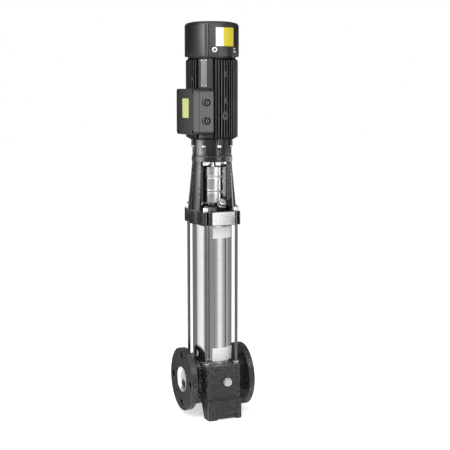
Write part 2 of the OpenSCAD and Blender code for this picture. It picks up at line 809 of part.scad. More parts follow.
module coupling_screws() {
    seat_y = lug_half - spot_depth;
    color(dull) rotate([0, 0, coupling_turn]) coupling_screw_places() rotate([90, 0, 0]) {
        translate([0, 0, 0.5 - seat_y]) cylinder(h = 2 * seat_y - 0.4, r = screw_hole_r - 0.1);
        difference() {
            translate([0, 0, seat_y + 0.05]) cylinder(h = 4, r = spot_r - 0.3);
            translate([0, 0, seat_y + 1.6]) hex_prism(5, 5);
        }
    }
}

// Motor
module shield_bolt_places() {
    for (a = [0:45:315]) at_angle(a, neck_r + 2) children();
}

module drive_end_shield() {
    z0 = stool_top + 0.5;
    web_z = z0 + 13;
    rim = bore_r - seat_gap;
    inner = bore_r - 4;
    color(black) difference() {
        union() {
            rotate_extrude() polygon([[14, z0], [neck_r - 1, z0], [neck_r, z0 + 1], [neck_r, housing_z],
                [rim, housing_z], [rim, housing_z + 11], [inner, housing_z + 11],
                [inner, web_z], [de_bearing_r + 5, web_z], [de_bearing_r + 5, de_bearing_z + de_bearing_w],
                [14, de_bearing_z + de_bearing_w]]);
            tube(stool_top, z0 + cut, 30 - 0.2, 14);
            shield_bolt_places() translate([0, 0, z0 + shield_bolt_rise])
                cylinder(h = housing_z - z0 - shield_bolt_rise, r = 4.8);
        }
        translate([0, 0, de_bearing_z]) cylinder(h = 60, r = de_bearing_r + seat_gap);
        translate([0, 0, stool_top - cut]) cylinder(h = 60, r = 14);
        shield_bolt_places() {
            translate([0, 0, z0 + shield_bolt_rise - 12]) cylinder(h = 12, r = 5.2);
            translate([0, 0, z0]) cylinder(h = 60, r = 2.6);
        }
        flange_bolt_places() translate([0, 0, stool_top - cut]) cylinder(h = 11, r = 4.1);
    }
}

module shield_bolts() {
    z0 = stool_top + 0.5 + shield_bolt_rise;
    color(dull) shield_bolt_places() {
        translate([0, 0, z0 - 4]) hex_prism(8.6, 3.95);
        translate([0, 0, z0 - 1]) cylinder(h = housing_z - z0 + 10, r = 2.5);
    }
}

// Outline of the finned housing: flat stretches at the root with a fin between each pair.
// Its angles are plain polar ones, so the box side lies at 180 degrees.
function fin_points(i) =
    let (a = 270 + i * 360 / fin_count,
        b = a % 360,
        root_w = fin_t * 1.35 / 2,
        bare = b > 215 && b < 252 || b > 108 && b < 145)
    bare
        ? [[(fin_r - 3) * cos(a), (fin_r - 3) * sin(a)]]
        : [for (p = [[root_r, -root_w], [fin_r, -fin_t / 2], [fin_r, fin_t / 2], [root_r, root_w]])
            [p[0] * cos(a) - p[1] * sin(a), p[0] * sin(a) + p[1] * cos(a)]];

module stator_housing() {
    shoulder = 7;
    box_clear = 2;
    color(black) difference() {
        union() {
            intersection() {
                translate([0, 0, housing_z]) linear_extrude(housing_len)
                    polygon([for (i = [0:fin_count - 1]) each fin_points(i)]);
                rotate_extrude() polygon([[0, housing_z], [neck_r + 4, housing_z],
                    [fin_r + 0.5, housing_z + shoulder], [fin_r + 0.5, housing_top - shoulder],
                    [root_r + 3, housing_top], [0, housing_top]]);
            }
            // Cast bosses among the fins
            for (b = [[8, 158, 14], [8, 92, 14], [-71, 150, 8], [188, 158, 14], [109, 150, 8]])
                at_angle(b[0], 0) translate([-3.2, -fin_r - 0.6, housing_z + b[1]]) cube([6.4, 14, b[2]]);
            for (a = [8, 188]) at_angle(a, 0) translate([0, -root_r + 3, housing_z + boss_rise])
                rotate([90, 0, 0]) linear_extrude(fin_r - root_r + 4)
                    polygon([[-3, -11], [3, -11], [8, -4], [8, 4], [3, 11], [-3, 11], [-8, 4], [-8, -4]]);
        }
        translate([0, 0, housing_z - cut]) cylinder(h = housing_len + 2 * cut, r = bore_r);
        // Room for the terminal box
        difference() {
            translate([-fin_r - 10, -fin_r - 2, box_z - box_h / 2 - box_clear])
                cube([fin_r + 10 - box_back + box_clear, 2 * fin_r + 4, box_h + 2 * box_clear]);
            translate([0, 0, housing_z]) cylinder(h = housing_len, r = root_r - 0.4);
        }
        for (a = [8, 188]) at_angle(a, 0) translate([0, -root_r + 2, housing_z + boss_rise])
            rotate([90, 0, 0]) cylinder(h = 20, r = 2.8);
        shield_bolt_places() translate([0, 0, housing_z - cut]) cylinder(h = 13, r = 2.6);
        // Cable way into the terminal box
        translate([-root_r - 5, 0, box_z + 30]) rotate([0, 90, 0]) cylinder(h = 20, r = 7);
    }
}

module stator_core() {
    slots = 24;
    color(dull) difference() {
        tube(core_z, core_z + core_len, bore_r - seat_gap, rotor_r + air_gap);
        for (i = [0:slots - 1]) rotate([0, 0, i * 360 / slots])
            translate([rotor_r, -0.9, core_z - cut]) cube([4, 1.8, core_len + 2 * cut]);
    }
}

module stator_windings() {
    color(copper) for (z = [core_z - 9, core_z + core_len + 0.05])
        translate([0, 0, z]) rotate_extrude() polygon([[rotor_r + 4, 0], [rotor_r + 6, 0.1],
            [bore_r - 7, 0.1], [bore_r - 5.5, 2], [bore_r - 5.5, 7], [bore_r - 8, 8.9], [rotor_r + 6, 8.9],
            [rotor_r + 4, 7]]);
}

module rotor_core() {
    color(dull) {
        tube(core_z, core_z + core_len, rotor_r, core_shaft_r + seat_gap);
        for (z = [core_z - 5, core_z + core_len + 0.05]) tube(z, z + 4.9, rotor_r - 1, core_shaft_r + 4);
    }
}

module motor_shaft() {
    de_end = de_bearing_z + de_bearing_w;
    nde_end = nde_bearing_z + nde_bearing_w;
    color(steel) rotate_extrude() polygon([[0, coupling_mid + 1], [motor_shaft_r - 0.8, coupling_mid + 1],
        [motor_shaft_r, coupling_mid + 2], [motor_shaft_r, de_bearing_z - 2], [de_seat_r, de_bearing_z - 1.5],
        [de_seat_r, de_end + 0.1], [core_shaft_r, de_end + 0.1], [core_shaft_r, nde_bearing_z - 0.1],
        [nde_seat_r, nde_bearing_z - 0.1], [nde_seat_r, nde_end + 34], [nde_seat_r - 1, nde_end + 35],
        [0, nde_end + 35]]);
}

// Deep-groove bearings: rings with a ball track, and the balls in their cage
function ball_r(r_out, r_in) = (r_out - r_in) * 0.28;
function ball_pitch(r_out, r_in) = (r_out + r_in) / 2;

module bearing_ring(z, w, r_out, r_in, outer) {
    pitch = ball_pitch(r_out, r_in);
    ball = ball_r(r_out, r_in);
    difference() {
        if (outer) tube(z, z + w, r_out, pitch + ball * 0.45);
        else tube(z, z + w, pitch - ball * 0.45, r_in);
        translate([0, 0, z + w / 2]) rotate_extrude() translate([pitch, 0])
            circle(r = ball + run_gap, $fn = 36);
    }
}

module ball_set(z, w, r_out, r_in) {
    pitch = ball_pitch(r_out, r_in);
    ball = ball_r(r_out, r_in);
    count = floor(PI * pitch / ball * ball_fill);
    translate([0, 0, z + w / 2]) {
        for (i = [0:count - 1]) at_angle(i * 360 / count, pitch) sphere(r = ball, $fn = 36);
        difference() {
            tube(-ball - cage_rim, ball * 0.3, pitch + ball * 0.3, pitch - ball * 0.3);
            for (i = [0:count - 1]) at_angle(i * 360 / count, pitch) rotate([90, 0, 0])
                cylinder(h = ball * 2, r = ball + cage_gap, center = true);
        }
    }
}

module bearing_outer_rings() {
    color(steel) {
        bearing_ring(de_bearing_z, de_bearing_w, de_bearing_r, de_seat_r, true);
        bearing_ring(nde_bearing_z, nde_bearing_w, nde_bearing_r, nde_seat_r, true);
    }
}

module bearing_inner_rings() {
    color(steel) {
        bearing_ring(de_bearing_z, de_bearing_w, de_bearing_r, de_seat_r + seat_gap, false);
        bearing_ring(nde_bearing_z, nde_bearing_w, nde_bearing_r, nde_seat_r + seat_gap, false);
    }
}

module bearing_balls() {
    color(steel) {
        ball_set(de_bearing_z, de_bearing_w, de_bearing_r, de_seat_r);
        ball_set(nde_bearing_z, nde_bearing_w, nde_bearing_r, nde_seat_r);
    }
}

function cowl_screw_angles() =
    [for (base = [0, 180], s = [-1, 1]) base + cowl_screw_mid + s * cowl_screw_spread];

module rear_end_shield() {
    z0 = housing_top + 0.05;
    boss_top = nde_bearing_z + nde_bearing_w + 3;
    color(black) difference() {
        union() {
            rotate_extrude() polygon([[10, z0 - 6], [nde_bearing_r + 4, z0 - 6], [nde_bearing_r + 4, z0],
                [bore_r - 4, z0], [bore_r - 4, z0 - 8], [bore_r - seat_gap, z0 - 8], [bore_r - seat_gap, z0],
                [root_r + 4, z0], [root_r + 4, z0 + 5], [nde_bearing_r + 5, z0 + 5],
                [nde_bearing_r + 5, boss_top], [10, boss_top]]);
            for (a = cowl_screw_angles()) at_angle(a, 0)
                translate([-6, -lug_r, z0]) cube([12, lug_r - root_r + 6, cowl_gap + cowl_screw_rise + 7]);
        }
        translate([0, 0, nde_bearing_z - 40]) cylinder(h = 40 + nde_bearing_w, r = nde_bearing_r + seat_gap);
        translate([0, 0, z0 - 10]) cylinder(h = 60, r = 10);
        cowl_screw_holes(2.1);
        tube(z0 - 20, z0 + 60, lug_r + 20, lug_r);
    }
}

module cowl_screw_holes(r) {
    for (a = cowl_screw_angles()) at_angle(a, cowl_r + 5) translate([0, 0, cowl_z + cowl_screw_rise])
        rotate([-90, 0, 0]) cylinder(h = 20, r = r);
}

module cooling_fan() {
    z0 = nde_bearing_z + nde_bearing_w + 5;
    blade_h = 24;
    color([0.16, 0.16, 0.17]) difference() {
        union() {
            translate([0, 0, z0]) cylinder(h = blade_h + 2, r = 13);
            translate([0, 0, z0 + 3]) cylinder(h = 2.5, r = 44);
            for (i = [0:fan_blades - 1]) rotate([0, 0, i * 360 / fan_blades])
                translate([10, -1.1, z0 + 5]) cube([38, 2.2, blade_h - 5]);
        }
        translate([0, 0, z0 - cut]) cylinder(h = blade_h + 10, r = nde_seat_r + seat_gap);
    }
}

module cowl_shape(inset) {
    r = cowl_r - inset;
    top = cowl_z + cowl_h - inset;
    difference() {
        rotate_extrude() polygon([[0, cowl_z - (inset > 0 ? cut : 0)], [r, cowl_z - (inset > 0 ? cut : 0)],
            [r, top - 12], [r - 1.4, top - 8], [r - 5, top - 4.5], [r - 18, top - 1.5], [0, top]]);
        at_angle(flute_angle, cowl_r + 4.5 - inset * 0.2)
            translate([0, 0, cowl_z - 2 * cut]) cylinder(h = cowl_h + 4 * cut, r = 7.5 + inset * 0.8);
    }
}

module fan_cowl() {
    slot_w = 4;
    color(black) difference() {
        cowl_shape(0);
        cowl_shape(cowl_wall);
        // Air slots in rings, parted by six spokes
        for (r = [14:8:54]) difference() {
            tube(cowl_z + cowl_h - 14, cowl_z + cowl_h + cut, r + slot_w, r);
            for (a = [0:60:300]) rotate([0, 0, a + 12]) translate([0, -2.5, cowl_z])
                cube([70, 5, cowl_h + 2 * cut]);
        }
        cowl_screw_holes(2.3);
    }
}

module cowl_screws() {
    color(steel) for (a = cowl_screw_angles()) at_angle(a, cowl_r) translate([0, 0, cowl_z + cowl_screw_rise])
        rotate([90, 0, 0]) {
            translate([0, 0, 0.15]) cylinder(h = 0.9, r = 5);
            difference() {
                translate([0, 0, 1]) cylinder(h = 2.2, r = 3.6);
                translate([0, 0, 2]) cube([7, 1, 3], center = true);
            }
            translate([0, 0, -9]) cylinder(h = 10, r = 2);
        }
}

// Terminal box on the side of the stator housing
module lid_screw_places() {
    for (sy = [-1, 1], sz = [-1, 1]) translate([0, sy * lid_post_y, box_z + sz * lid_post_z]) children();
}

module terminal_box() {
    color(black) difference() {
        union() {
            difference() {
                translate([0, 0, box_z]) edge_block(-box_front, -box_back, box_w, box_h, 7);
                translate([0, 0, box_z])
                    edge_block(-box_front - cut, -box_back - 6, box_w - 2 * box_wall, box_h - 2 * box_wall,
                        4);
            }
            lid_screw_places() translate([-box_front, 0, 0]) rotate([0, 90, 0]) cylinder(h = 22, r = 5.5);
        }
        translate([0, 0, box_z - box_h]) cylinder(h = 2 * box_h, r = root_r + 0.05);
        gland_places() rotate([90, 0, 0]) cylinder(h = 30, r = gland_d / 2 - 3, center = true);
        lid_screw_places() translate([-box_front - cut, 0, 0]) rotate([0, 90, 0]) cylinder(h = 16, r = 2.1);
    }
}

module gland_places() {
    for (s = [-1, 1]) translate([-gland_x, -box_w / 2, box_z + s * gland_step / 2]) children();
}

module gland_plugs() {
    color([0.14, 0.14, 0.15]) gland_places() rotate([90, 0, 0]) difference() {
        union() {
            translate([0, 0, 0.05]) cylinder(h = 3.2, r = gland_d / 2);
            translate([0, 0, -9]) cylinder(h = 10, r = gland_d / 2 - 3 - seat_gap);
        }
        translate([0, 0, 1.2]) tube(0, 4, gland_d / 2 - 3, gland_d / 2 - 7.4);
        translate([0, 0, 1.8]) cylinder(h = 4, r = 2.4);
    }
}

module lid_gasket() {
    color(rubber) difference() {
        translate([0, 0, box_z]) edge_block(-lid_back + 0.05, -box_front - 0.05, box_w, box_h, 7);
        translate([0, 0, box_z]) edge_block(-lid_back - cut, -box_front + cut, box_w - 14, box_h - 14, 4);
        lid_screw_places() translate([-lid_back - cut, 0, 0]) rotate([0, 90, 0]) cylinder(h = 5, r = 2.6);
    }
}

module box_lid() {
    floor_t = 3;
    color(black) difference() {
        union() {
            difference() {
                translate([0, 0, box_z]) edge_block(-lid_front, -lid_back, lid_w, lid_h, 9);
                translate([0, 0, box_z])
                    edge_block(-lid_front + floor_t, -lid_back + cut, lid_w - 2 * box_wall,
                        lid_h - 2 * box_wall, 5);
            }
            lid_screw_places() translate([-lid_front + cut, 0, 0]) rotate([0, 90, 0])
                cylinder(h = lid_t - cut, r = 7.4);
        }
        // Sunk seats of the screws in the lid's corners
        lid_screw_places() translate([-lid_front - cut, 0, 0]) rotate([0, 90, 0]) {
            cylinder(h = lid_seat + cut, r = 5.4);
            cylinder(h = lid_t + 2 * cut, r = 2.4);
        }
    }
}

module lid_screws() {
    color(steel) lid_screw_places() translate([-lid_front + lid_seat - 0.05, 0, 0]) rotate([0, -90, 0])
        difference() {
            union() {
                cylinder(h = 3.4, r = 4.2);
                translate([0, 0, -20]) cylinder(h = 21, r = 2);
            }
            translate([0, 0, 2.6]) cube([10, 1.1, 3], center = true);
        }
}

module stud_places() {
    for (sy = [-1, 0, 1], sz = [-1, 1]) translate([-block_front, sy * 17, box_z + sz * 11]) children();
}

module terminal_block() {
    color([0.30, 0.26, 0.20]) difference() {
        union() {
            translate([0, 0, box_z]) edge_block(-block_front, -40, block_y, block_h, 3);
            for (sy = [-0.5, 0.5]) translate([-block_front - 3, sy * 17 - 1, box_z - block_h / 2 + 3])
                cube([6, 2, block_h - 6]);
        }
        translate([0, 0, box_z - box_h]) cylinder(h = 2 * box_h, r = root_r + 0.05);
        stud_places() rotate([0, 90, 0]) cylinder(h = 12, r = 2.2 + seat_gap, center = true);
    }
}

module terminal_studs() {
    color(brass) stud_places() rotate([0, -90, 0]) {
        translate([0, 0, -5]) cylinder(h = 10, r = 2.2);
        translate([0, 0, 0.05]) hex_prism(8, 3);
    }
}

base_casting();
port_liners();
drain_plug();
sleeve_o_rings();
outer_sleeve();
tie_rods();
rod_nuts();
rod_washers();
suction_chamber();
stage_chamber(1);  // stage_chamber_1
stage_chamber(2);  // stage_chamber_2
stage_chamber(3);  // stage_chamber_3
stage_chamber(4);  // stage_chamber_4
stage_chamber(5);  // stage_chamber_5
stage_chamber(6);  // stage_chamber_6
top_chamber();
pump_shaft();
impeller(1);  // impeller_1
impeller(2);  // impeller_2
impeller(3);  // impeller_3
impeller(4);  // impeller_4
impeller(5);  // impeller_5
impeller(6);  // impeller_6
stage_spacers();
shaft_nut();
pump_head();
seal_seat();
seal_rotor();
seal_spring();
seal_cover();
seal_screws();
vent_plug();
vent_needle();
vent_head();
motor_stool();
coupling_half(-1);  // coupling_front
coupling_half(1);  // coupling_back
coupling_screws();
drive_end_shield();
flange_bolts();
shield_bolts();
stator_housing();
stator_core();
stator_windings();
rotor_core();
motor_shaft();
bearing_outer_rings();
bearing_inner_rings();
bearing_balls();
rear_end_shield();
cooling_fan();
fan_cowl();
cowl_screws();
terminal_box();
lid_gasket();
box_lid();
lid_screws();
terminal_block();
terminal_studs();
gland_plugs();
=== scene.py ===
import math
import bpy
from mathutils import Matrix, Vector


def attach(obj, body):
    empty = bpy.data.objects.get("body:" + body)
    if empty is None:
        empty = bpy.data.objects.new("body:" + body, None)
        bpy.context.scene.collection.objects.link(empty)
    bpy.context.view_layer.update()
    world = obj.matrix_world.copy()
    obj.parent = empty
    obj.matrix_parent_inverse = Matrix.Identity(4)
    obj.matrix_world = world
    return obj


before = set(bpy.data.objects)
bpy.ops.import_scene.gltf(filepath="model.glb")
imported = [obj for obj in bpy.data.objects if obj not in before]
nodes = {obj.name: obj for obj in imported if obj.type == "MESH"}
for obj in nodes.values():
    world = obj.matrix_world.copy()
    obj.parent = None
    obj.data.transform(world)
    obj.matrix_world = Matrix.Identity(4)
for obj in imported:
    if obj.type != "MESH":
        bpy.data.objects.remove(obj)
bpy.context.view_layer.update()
print("frame loaded:", len(nodes), "nodes")


# small helpers for node trees
def addNode(tree, kind, sockets=None, **settings):
    node = tree.nodes.new(kind)
    for name, value in settings.items():
        setattr(node, name, value)
    for name, value in (sockets or {}).items():
        node.inputs[name].default_value = value
    return node


def link(tree, outlet, inlet):
    tree.links.new(outlet, inlet)


def startGroup(name, inlets, outlets):
    group = bpy.data.node_groups.new(name, "ShaderNodeTree")
    kinds = {"value": "NodeSocketFloat", "colour": "NodeSocketColor", "vector": "NodeSocketVector"}
    for label, kind, start in inlets:
        socket = group.interface.new_socket(name=label, in_out="INPUT", socket_type=kinds[kind])
        socket.default_value = start
    for label, kind in outlets:
        group.interface.new_socket(name=label, in_out="OUTPUT", socket_type=kinds[kind])
    return group, group.nodes.new("NodeGroupInput"), group.nodes.new("NodeGroupOutput")


def useGroup(tree, group, values):
    node = tree.nodes.new("ShaderNodeGroup")
    node.node_tree = group
    for name, value in values.items():
        node.inputs[name].default_value = value
    return node


# surface effects that several materials share
hollowShadePatches = {"shift": (0.0, 0.06, 0.02), "smoothTone": 0.4}


def makeCastSkin():
    # lumpy sand-cast surface under paint: height, and a tone that darkens the hollows, a painted shade
    group, given, made = startGroup(
        "castSkinAndShade",
        [("Lump Size", "value", 180.0), ("Grain Size", "value", 900.0), ("Grain Share", "value", 0.3)],
        [("Height", "value"), ("Tone", "value")],
    )
    place = addNode(group, "ShaderNodeTexCoord")
    lumps = addNode(group, "ShaderNodeTexNoise", {"Detail": 1.0, "Roughness": 0.4, "Distortion": 0.3})
    cells = addNode(group, "ShaderNodeTexVoronoi", {"Randomness": 1.0}, feature="SMOOTH_F1")
    grain = addNode(group, "ShaderNodeTexNoise", {"Detail": 2.0, "Roughness": 0.6})
    for texture, size in ((lumps, "Lump Size"), (cells, "Lump Size"), (grain, "Grain Size")):
        link(group, place.outputs["Object"], texture.inputs["Vector"])
        link(group, given.outputs[size], texture.inputs["Scale"])
    blend = addNode(group, "ShaderNodeMix", {"Factor": 0.35}, data_type="FLOAT")
    link(group, lumps.outputs["Fac"], blend.inputs[2])
    link(group, cells.outputs["Distance"], blend.inputs[3])
    fine = addNode(group, "ShaderNodeMix", data_type="FLOAT")
    link(group, given.outputs["Grain Share"], fine.inputs[0])
    link(group, blend.outputs[0], fine.inputs[2])
    link(group, grain.outputs["Fac"], fine.inputs[3])
    tone = addNode(group, "ShaderNodeMapRange", {"From Min": 0.4, "From Max": 0.56})
    link(group, fine.outputs[0], tone.inputs["Value"])
    # broad patches: rough ones on the casting's front left, where the hollows get their painted shade, and
    # smooth ones with an even tone
    broad = addNode(group, "ShaderNodeTexNoise", {"Scale": 13.0, "Detail": 1.0, "Roughness": 0.4})
    shifted = addNode(group, "ShaderNodeVectorMath", operation="ADD")
    link(group, place.outputs["Object"], shifted.inputs[0])
    shifted.inputs[1].default_value = hollowShadePatches["shift"]
    link(group, shifted.outputs[0], broad.inputs["Vector"])
    shadedPatch = addNode(group, "ShaderNodeMapRange", {"From Min": 0.42, "From Max": 0.58})
    link(group, broad.outputs["Fac"], shadedPatch.inputs["Value"])
    patchyHollowShade = addNode(group, "ShaderNodeMix", data_type="FLOAT")
    link(group, shadedPatch.outputs["Result"], patchyHollowShade.inputs[0])
    patchyHollowShade.inputs[2].default_value = hollowShadePatches["smoothTone"]
    link(group, tone.outputs["Result"], patchyHollowShade.inputs[3])
    link(group, fine.outputs[0], made.inputs["Height"])
    link(group, patchyHollowShade.outputs[0], made.inputs["Tone"])
    return group


def makeEdgeWear():
    # outer edges, where paint thins and metal is rubbed; on some parts the light edge colour is also a
    # painted highlight
    group, given, made = startGroup(
        "edgeWearAndHighlight",
        [("Width", "value", 0.0012), ("Patch Size", "value", 60.0), ("Amount", "value", 1.0)],
        [("Mask", "value")],
    )
    soft = addNode(group, "ShaderNodeBevel", samples=4)
    link(group, given.outputs["Width"], soft.inputs["Radius"])
    surface = addNode(group, "ShaderNodeNewGeometry")
    turn = addNode(group, "ShaderNodeVectorMath", operation="DOT_PRODUCT")
    link(group, soft.outputs["Normal"], turn.inputs[0])
    link(group, surface.outputs["Normal"], turn.inputs[1])
    edge = addNode(group, "ShaderNodeMapRange", {"From Min": 0.995, "From Max": 0.86})
    link(group, turn.outputs["Value"], edge.inputs["Value"])
    place = addNode(group, "ShaderNodeTexCoord")
    patches = addNode(group, "ShaderNodeTexNoise", {"Detail": 5.0, "Roughness": 0.7})
    link(group, place.outputs["Object"], patches.inputs["Vector"])
    link(group, given.outputs["Patch Size"], patches.inputs["Scale"])
    broken = addNode(group, "ShaderNodeMapRange", {"From Min": 0.38, "From Max": 0.66})
    link(group, patches.outputs["Fac"], broken.inputs["Value"])
    both = addNode(group, "ShaderNodeMath", operation="MULTIPLY")
    link(group, edge.outputs["Result"], both.inputs[0])
    link(group, broken.outputs["Result"], both.inputs[1])
    share = addNode(group, "ShaderNodeMath", operation="MULTIPLY", use_clamp=True)
    link(group, both.outputs[0], share.inputs[0])
    link(group, given.outputs["Amount"], share.inputs[1])
    link(group, share.outputs[0], made.inputs["Mask"])
    return group


def makeHandling():
    # smudges and dust: a broad uneven mask, and a mask for upward faces
    group, given, made = startGroup(
        "handling",
        [("Patch Size", "value", 14.0)],
        [("Smudge", "value"), ("Dust", "value")],
    )
    place = addNode(group, "ShaderNodeTexCoord")
    broad = addNode(group, "ShaderNodeTexNoise", {"Detail": 6.0, "Roughness": 0.62, "Distortion": 0.6})
    link(group, place.outputs["Object"], broad.inputs["Vector"])
    link(group, given.outputs["Patch Size"], broad.inputs["Scale"])
    smudge = addNode(group, "ShaderNodeMapRange", {"From Min": 0.3, "From Max": 0.7})
    link(group, broad.outputs["Fac"], smudge.inputs["Value"])
    surface = addNode(group, "ShaderNodeNewGeometry")
    parts = addNode(group, "ShaderNodeSeparateXYZ")
    link(group, surface.outputs["Normal"], parts.inputs[0])
    upward = addNode(group, "ShaderNodeMapRange", {"From Min": 0.45, "From Max": 1.0})
    link(group, parts.outputs["Z"], upward.inputs["Value"])
    specks = addNode(group, "ShaderNodeTexNoise", {"Scale": 260.0, "Detail": 4.0, "Roughness": 0.7})
    link(group, place.outputs["Object"], specks.inputs["Vector"])
    scatter = addNode(group, "ShaderNodeMath", operation="MULTIPLY")
    link(group, upward.outputs["Result"], scatter.inputs[0])
    link(group, specks.outputs["Fac"], scatter.inputs[1])
    link(group, smudge.outputs["Result"], made.inputs["Smudge"])
    link(group, scatter.outputs[0], made.inputs["Dust"])
    return group


def makeBrushing():
    # fine drawn or turned lines: stretched noise, along the pump's axis or round it
    group, given, made = startGroup(
        "brushing",
        [("Across", "value", 900.0), ("Along", "value", 12.0)],
        [("Height", "value"), ("Tone", "value")],
    )
    place = addNode(group, "ShaderNodeTexCoord")
    stretch = addNode(group, "ShaderNodeCombineXYZ")
    link(group, given.outputs["Along"], stretch.inputs["X"])
    link(group, given.outputs["Along"], stretch.inputs["Y"])
    link(group, given.outputs["Across"], stretch.inputs["Z"])
    scaled = addNode(group, "ShaderNodeVectorMath", operation="MULTIPLY")
    link(group, place.outputs["Object"], scaled.inputs[0])
    link(group, stretch.outputs[0], scaled.inputs[1])
    lines = addNode(group, "ShaderNodeTexNoise", {"Scale": 1.0, "Detail": 4.0, "Roughness": 0.6})
    link(group, scaled.outputs[0], lines.inputs["Vector"])
    tone = addNode(group, "ShaderNodeMapRange", {"From Min": 0.3, "From Max": 0.7})
    link(group, lines.outputs["Fac"], tone.inputs["Value"])
    link(group, lines.outputs["Fac"], made.inputs["Height"])
    link(group, tone.outputs["Result"], made.inputs["Tone"])
    return group


castSkinAndShade = makeCastSkin()
edgeWearAndHighlight = makeEdgeWear()
handling = makeHandling()
brushing = makeBrushing()
print("surface effects built")


# materials
def startMaterial(name):
    material = bpy.data.materials.new(name)
    material.use_nodes = True
    tree = material.node_tree
    tree.nodes.clear()
    shader = tree.nodes.new("ShaderNodeBsdfPrincipled")
    out = tree.nodes.new("ShaderNodeOutputMaterial")
    link(tree, shader.outputs[0], out.inputs["Surface"])
    return material, tree, shader


def mixColours(tree, mask, first, second):
    mix = addNode(tree, "ShaderNodeMix", data_type="RGBA")
    link(tree, mask, mix.inputs["Factor"])
    for socket, colour in ((mix.inputs[6], first), (mix.inputs[7], second)):
        if isinstance(colour, tuple):
            socket.default_value = (*colour, 1.0)
        else:
            link(tree, colour, socket)
    return mix.outputs[2]


def valueRange(tree, value, low, high):
    ramp = addNode(tree, "ShaderNodeMapRange", {"To Min": low, "To Max": high})
    link(tree, value, ramp.inputs["Value"])
    return ramp.outputs["Result"]


def bumpFrom(tree, shader, height, depth, strength, edge):
    bump = addNode(tree, "ShaderNodeBump", {"Distance": depth, "Strength": strength})
    link(tree, height, bump.inputs["Height"])
    if edge:
        soft = addNode(tree, "ShaderNodeBevel", {"Radius": edge}, samples=4)
        link(tree, soft.outputs["Normal"], bump.inputs["Normal"])
    link(tree, bump.outputs["Normal"], shader.inputs["Normal"])


def paintFinish(name, look):
    # black enamel on cast or pressed metal
    material, tree, shader = startMaterial(name)
    skinAndShade = useGroup(tree, castSkinAndShade, {
        "Lump Size": look["lump"], "Grain Size": look["grain"], "Grain Share": look["grainShare"]})
    wearAndHighlight = useGroup(tree, edgeWearAndHighlight, {
        "Width": look["wearWidth"], "Patch Size": look["wearPatch"], "Amount": look["wearAndHighlight"]})
    hands = useGroup(tree, handling, {"Patch Size": look["handPatch"]})
    # hollows darkened by the skin's tone: painted shade
    colour = mixColours(tree, skinAndShade.outputs["Tone"], look["hollowShade"], look["colour"])
    # edges lightened: rubbed wear, and on some parts a painted highlight
    colour = mixColours(tree, wearAndHighlight.outputs["Mask"], colour, look["wornAndHighlight"])
    dust = addNode(tree, "ShaderNodeMath", operation="MULTIPLY")
    link(tree, hands.outputs["Dust"], dust.inputs[0])
    dust.inputs[1].default_value = look["dust"]
    colour = mixColours(tree, dust.outputs[0], colour, look["dustColour"])
    link(tree, colour, shader.inputs["Base Color"])
    link(tree, valueRange(tree, hands.outputs["Smudge"], *look["gloss"]), shader.inputs["Roughness"])
    shader.inputs["Specular IOR Level"].default_value = look["specular"]
    bumpFrom(tree, shader, skinAndShade.outputs["Height"], look["depth"], look["strength"], look["edge"])
    return material


def metalFinish(name, look):
    # bare, plated or polished metal
    material, tree, shader = startMaterial(name)
    lines = useGroup(tree, brushing, {"Across": look["across"], "Along": look["along"]})
    hands = useGroup(tree, handling, {"Patch Size": look["patch"]})
    wearAndHighlight = useGroup(tree, edgeWearAndHighlight, {
        "Width": look["wearWidth"], "Patch Size": look["wearPatch"], "Amount": look["wearAndHighlight"]})
    colour = mixColours(tree, lines.outputs["Tone"], look["shade"], look["colour"])
    # edges lightened: rubbed wear, and on some parts a painted highlight
    colour = mixColours(tree, wearAndHighlight.outputs["Mask"], colour, look["wornAndHighlight"])
    link(tree, colour, shader.inputs["Base Color"])
    shader.inputs["Metallic"].default_value = 1.0
    link(tree, valueRange(tree, hands.outputs["Smudge"], *look["gloss"]), shader.inputs["Roughness"])
    bumpFrom(tree, shader, lines.outputs["Height"], look["depth"], look["strength"], look["edge"])
    return material


def softFinish(name, look):
    # rubber, plastic, carbon and board: no metal in it
    material, tree, shader = startMaterial(name)
    skinAndShade = useGroup(tree, castSkinAndShade, {
        "Lump Size": look["lump"], "Grain Size": look["grain"], "Grain Share": look["grainShare"]})
    hands = useGroup(tree, handling, {"Patch Size": look["handPatch"]})
    # hollows darkened by the skin's tone: painted shade
    colour = mixColours(tree, skinAndShade.outputs["Tone"], look["hollowShade"], look["colour"])
    dust = addNode(tree, "ShaderNodeMath", operation="MULTIPLY")
    link(tree, hands.outputs["Dust"], dust.inputs[0])
    dust.inputs[1].default_value = look["dust"]
    colour = mixColours(tree, dust.outputs[0], colour, look["dustColour"])
    link(tree, colour, shader.inputs["Base Color"])
    link(tree, valueRange(tree, hands.outputs["Smudge"], *look["gloss"]), shader.inputs["Roughness"])
    bumpFrom(tree, shader, skinAndShade.outputs["Height"], look["depth"], look["strength"], look["edge"])
    return material


# the hollow colour is the painted shade in the lumps' hollows
castPaint = {
    "colour": (0.05, 0.05, 0.051), "hollowShade": (0.003, 0.003, 0.0035), "wornAndHighlight": (0.14, 0.14, 0.138),
    "dustColour": (0.1, 0.095, 0.09), "dust": 0.1, "wearAndHighlight": 0.5, "wearWidth": 0.0014,
    "wearPatch": 70.0, "handPatch": 16.0, "gloss": (0.16, 0.26), "specular": 0.5,
    "lump": 200.0, "grain": 500.0, "grainShare": 0.12, "depth": 0.0014, "strength": 1.0, "edge": 0.0016}
headPaint = {**castPaint, "colour": (0.018, 0.018, 0.019)}
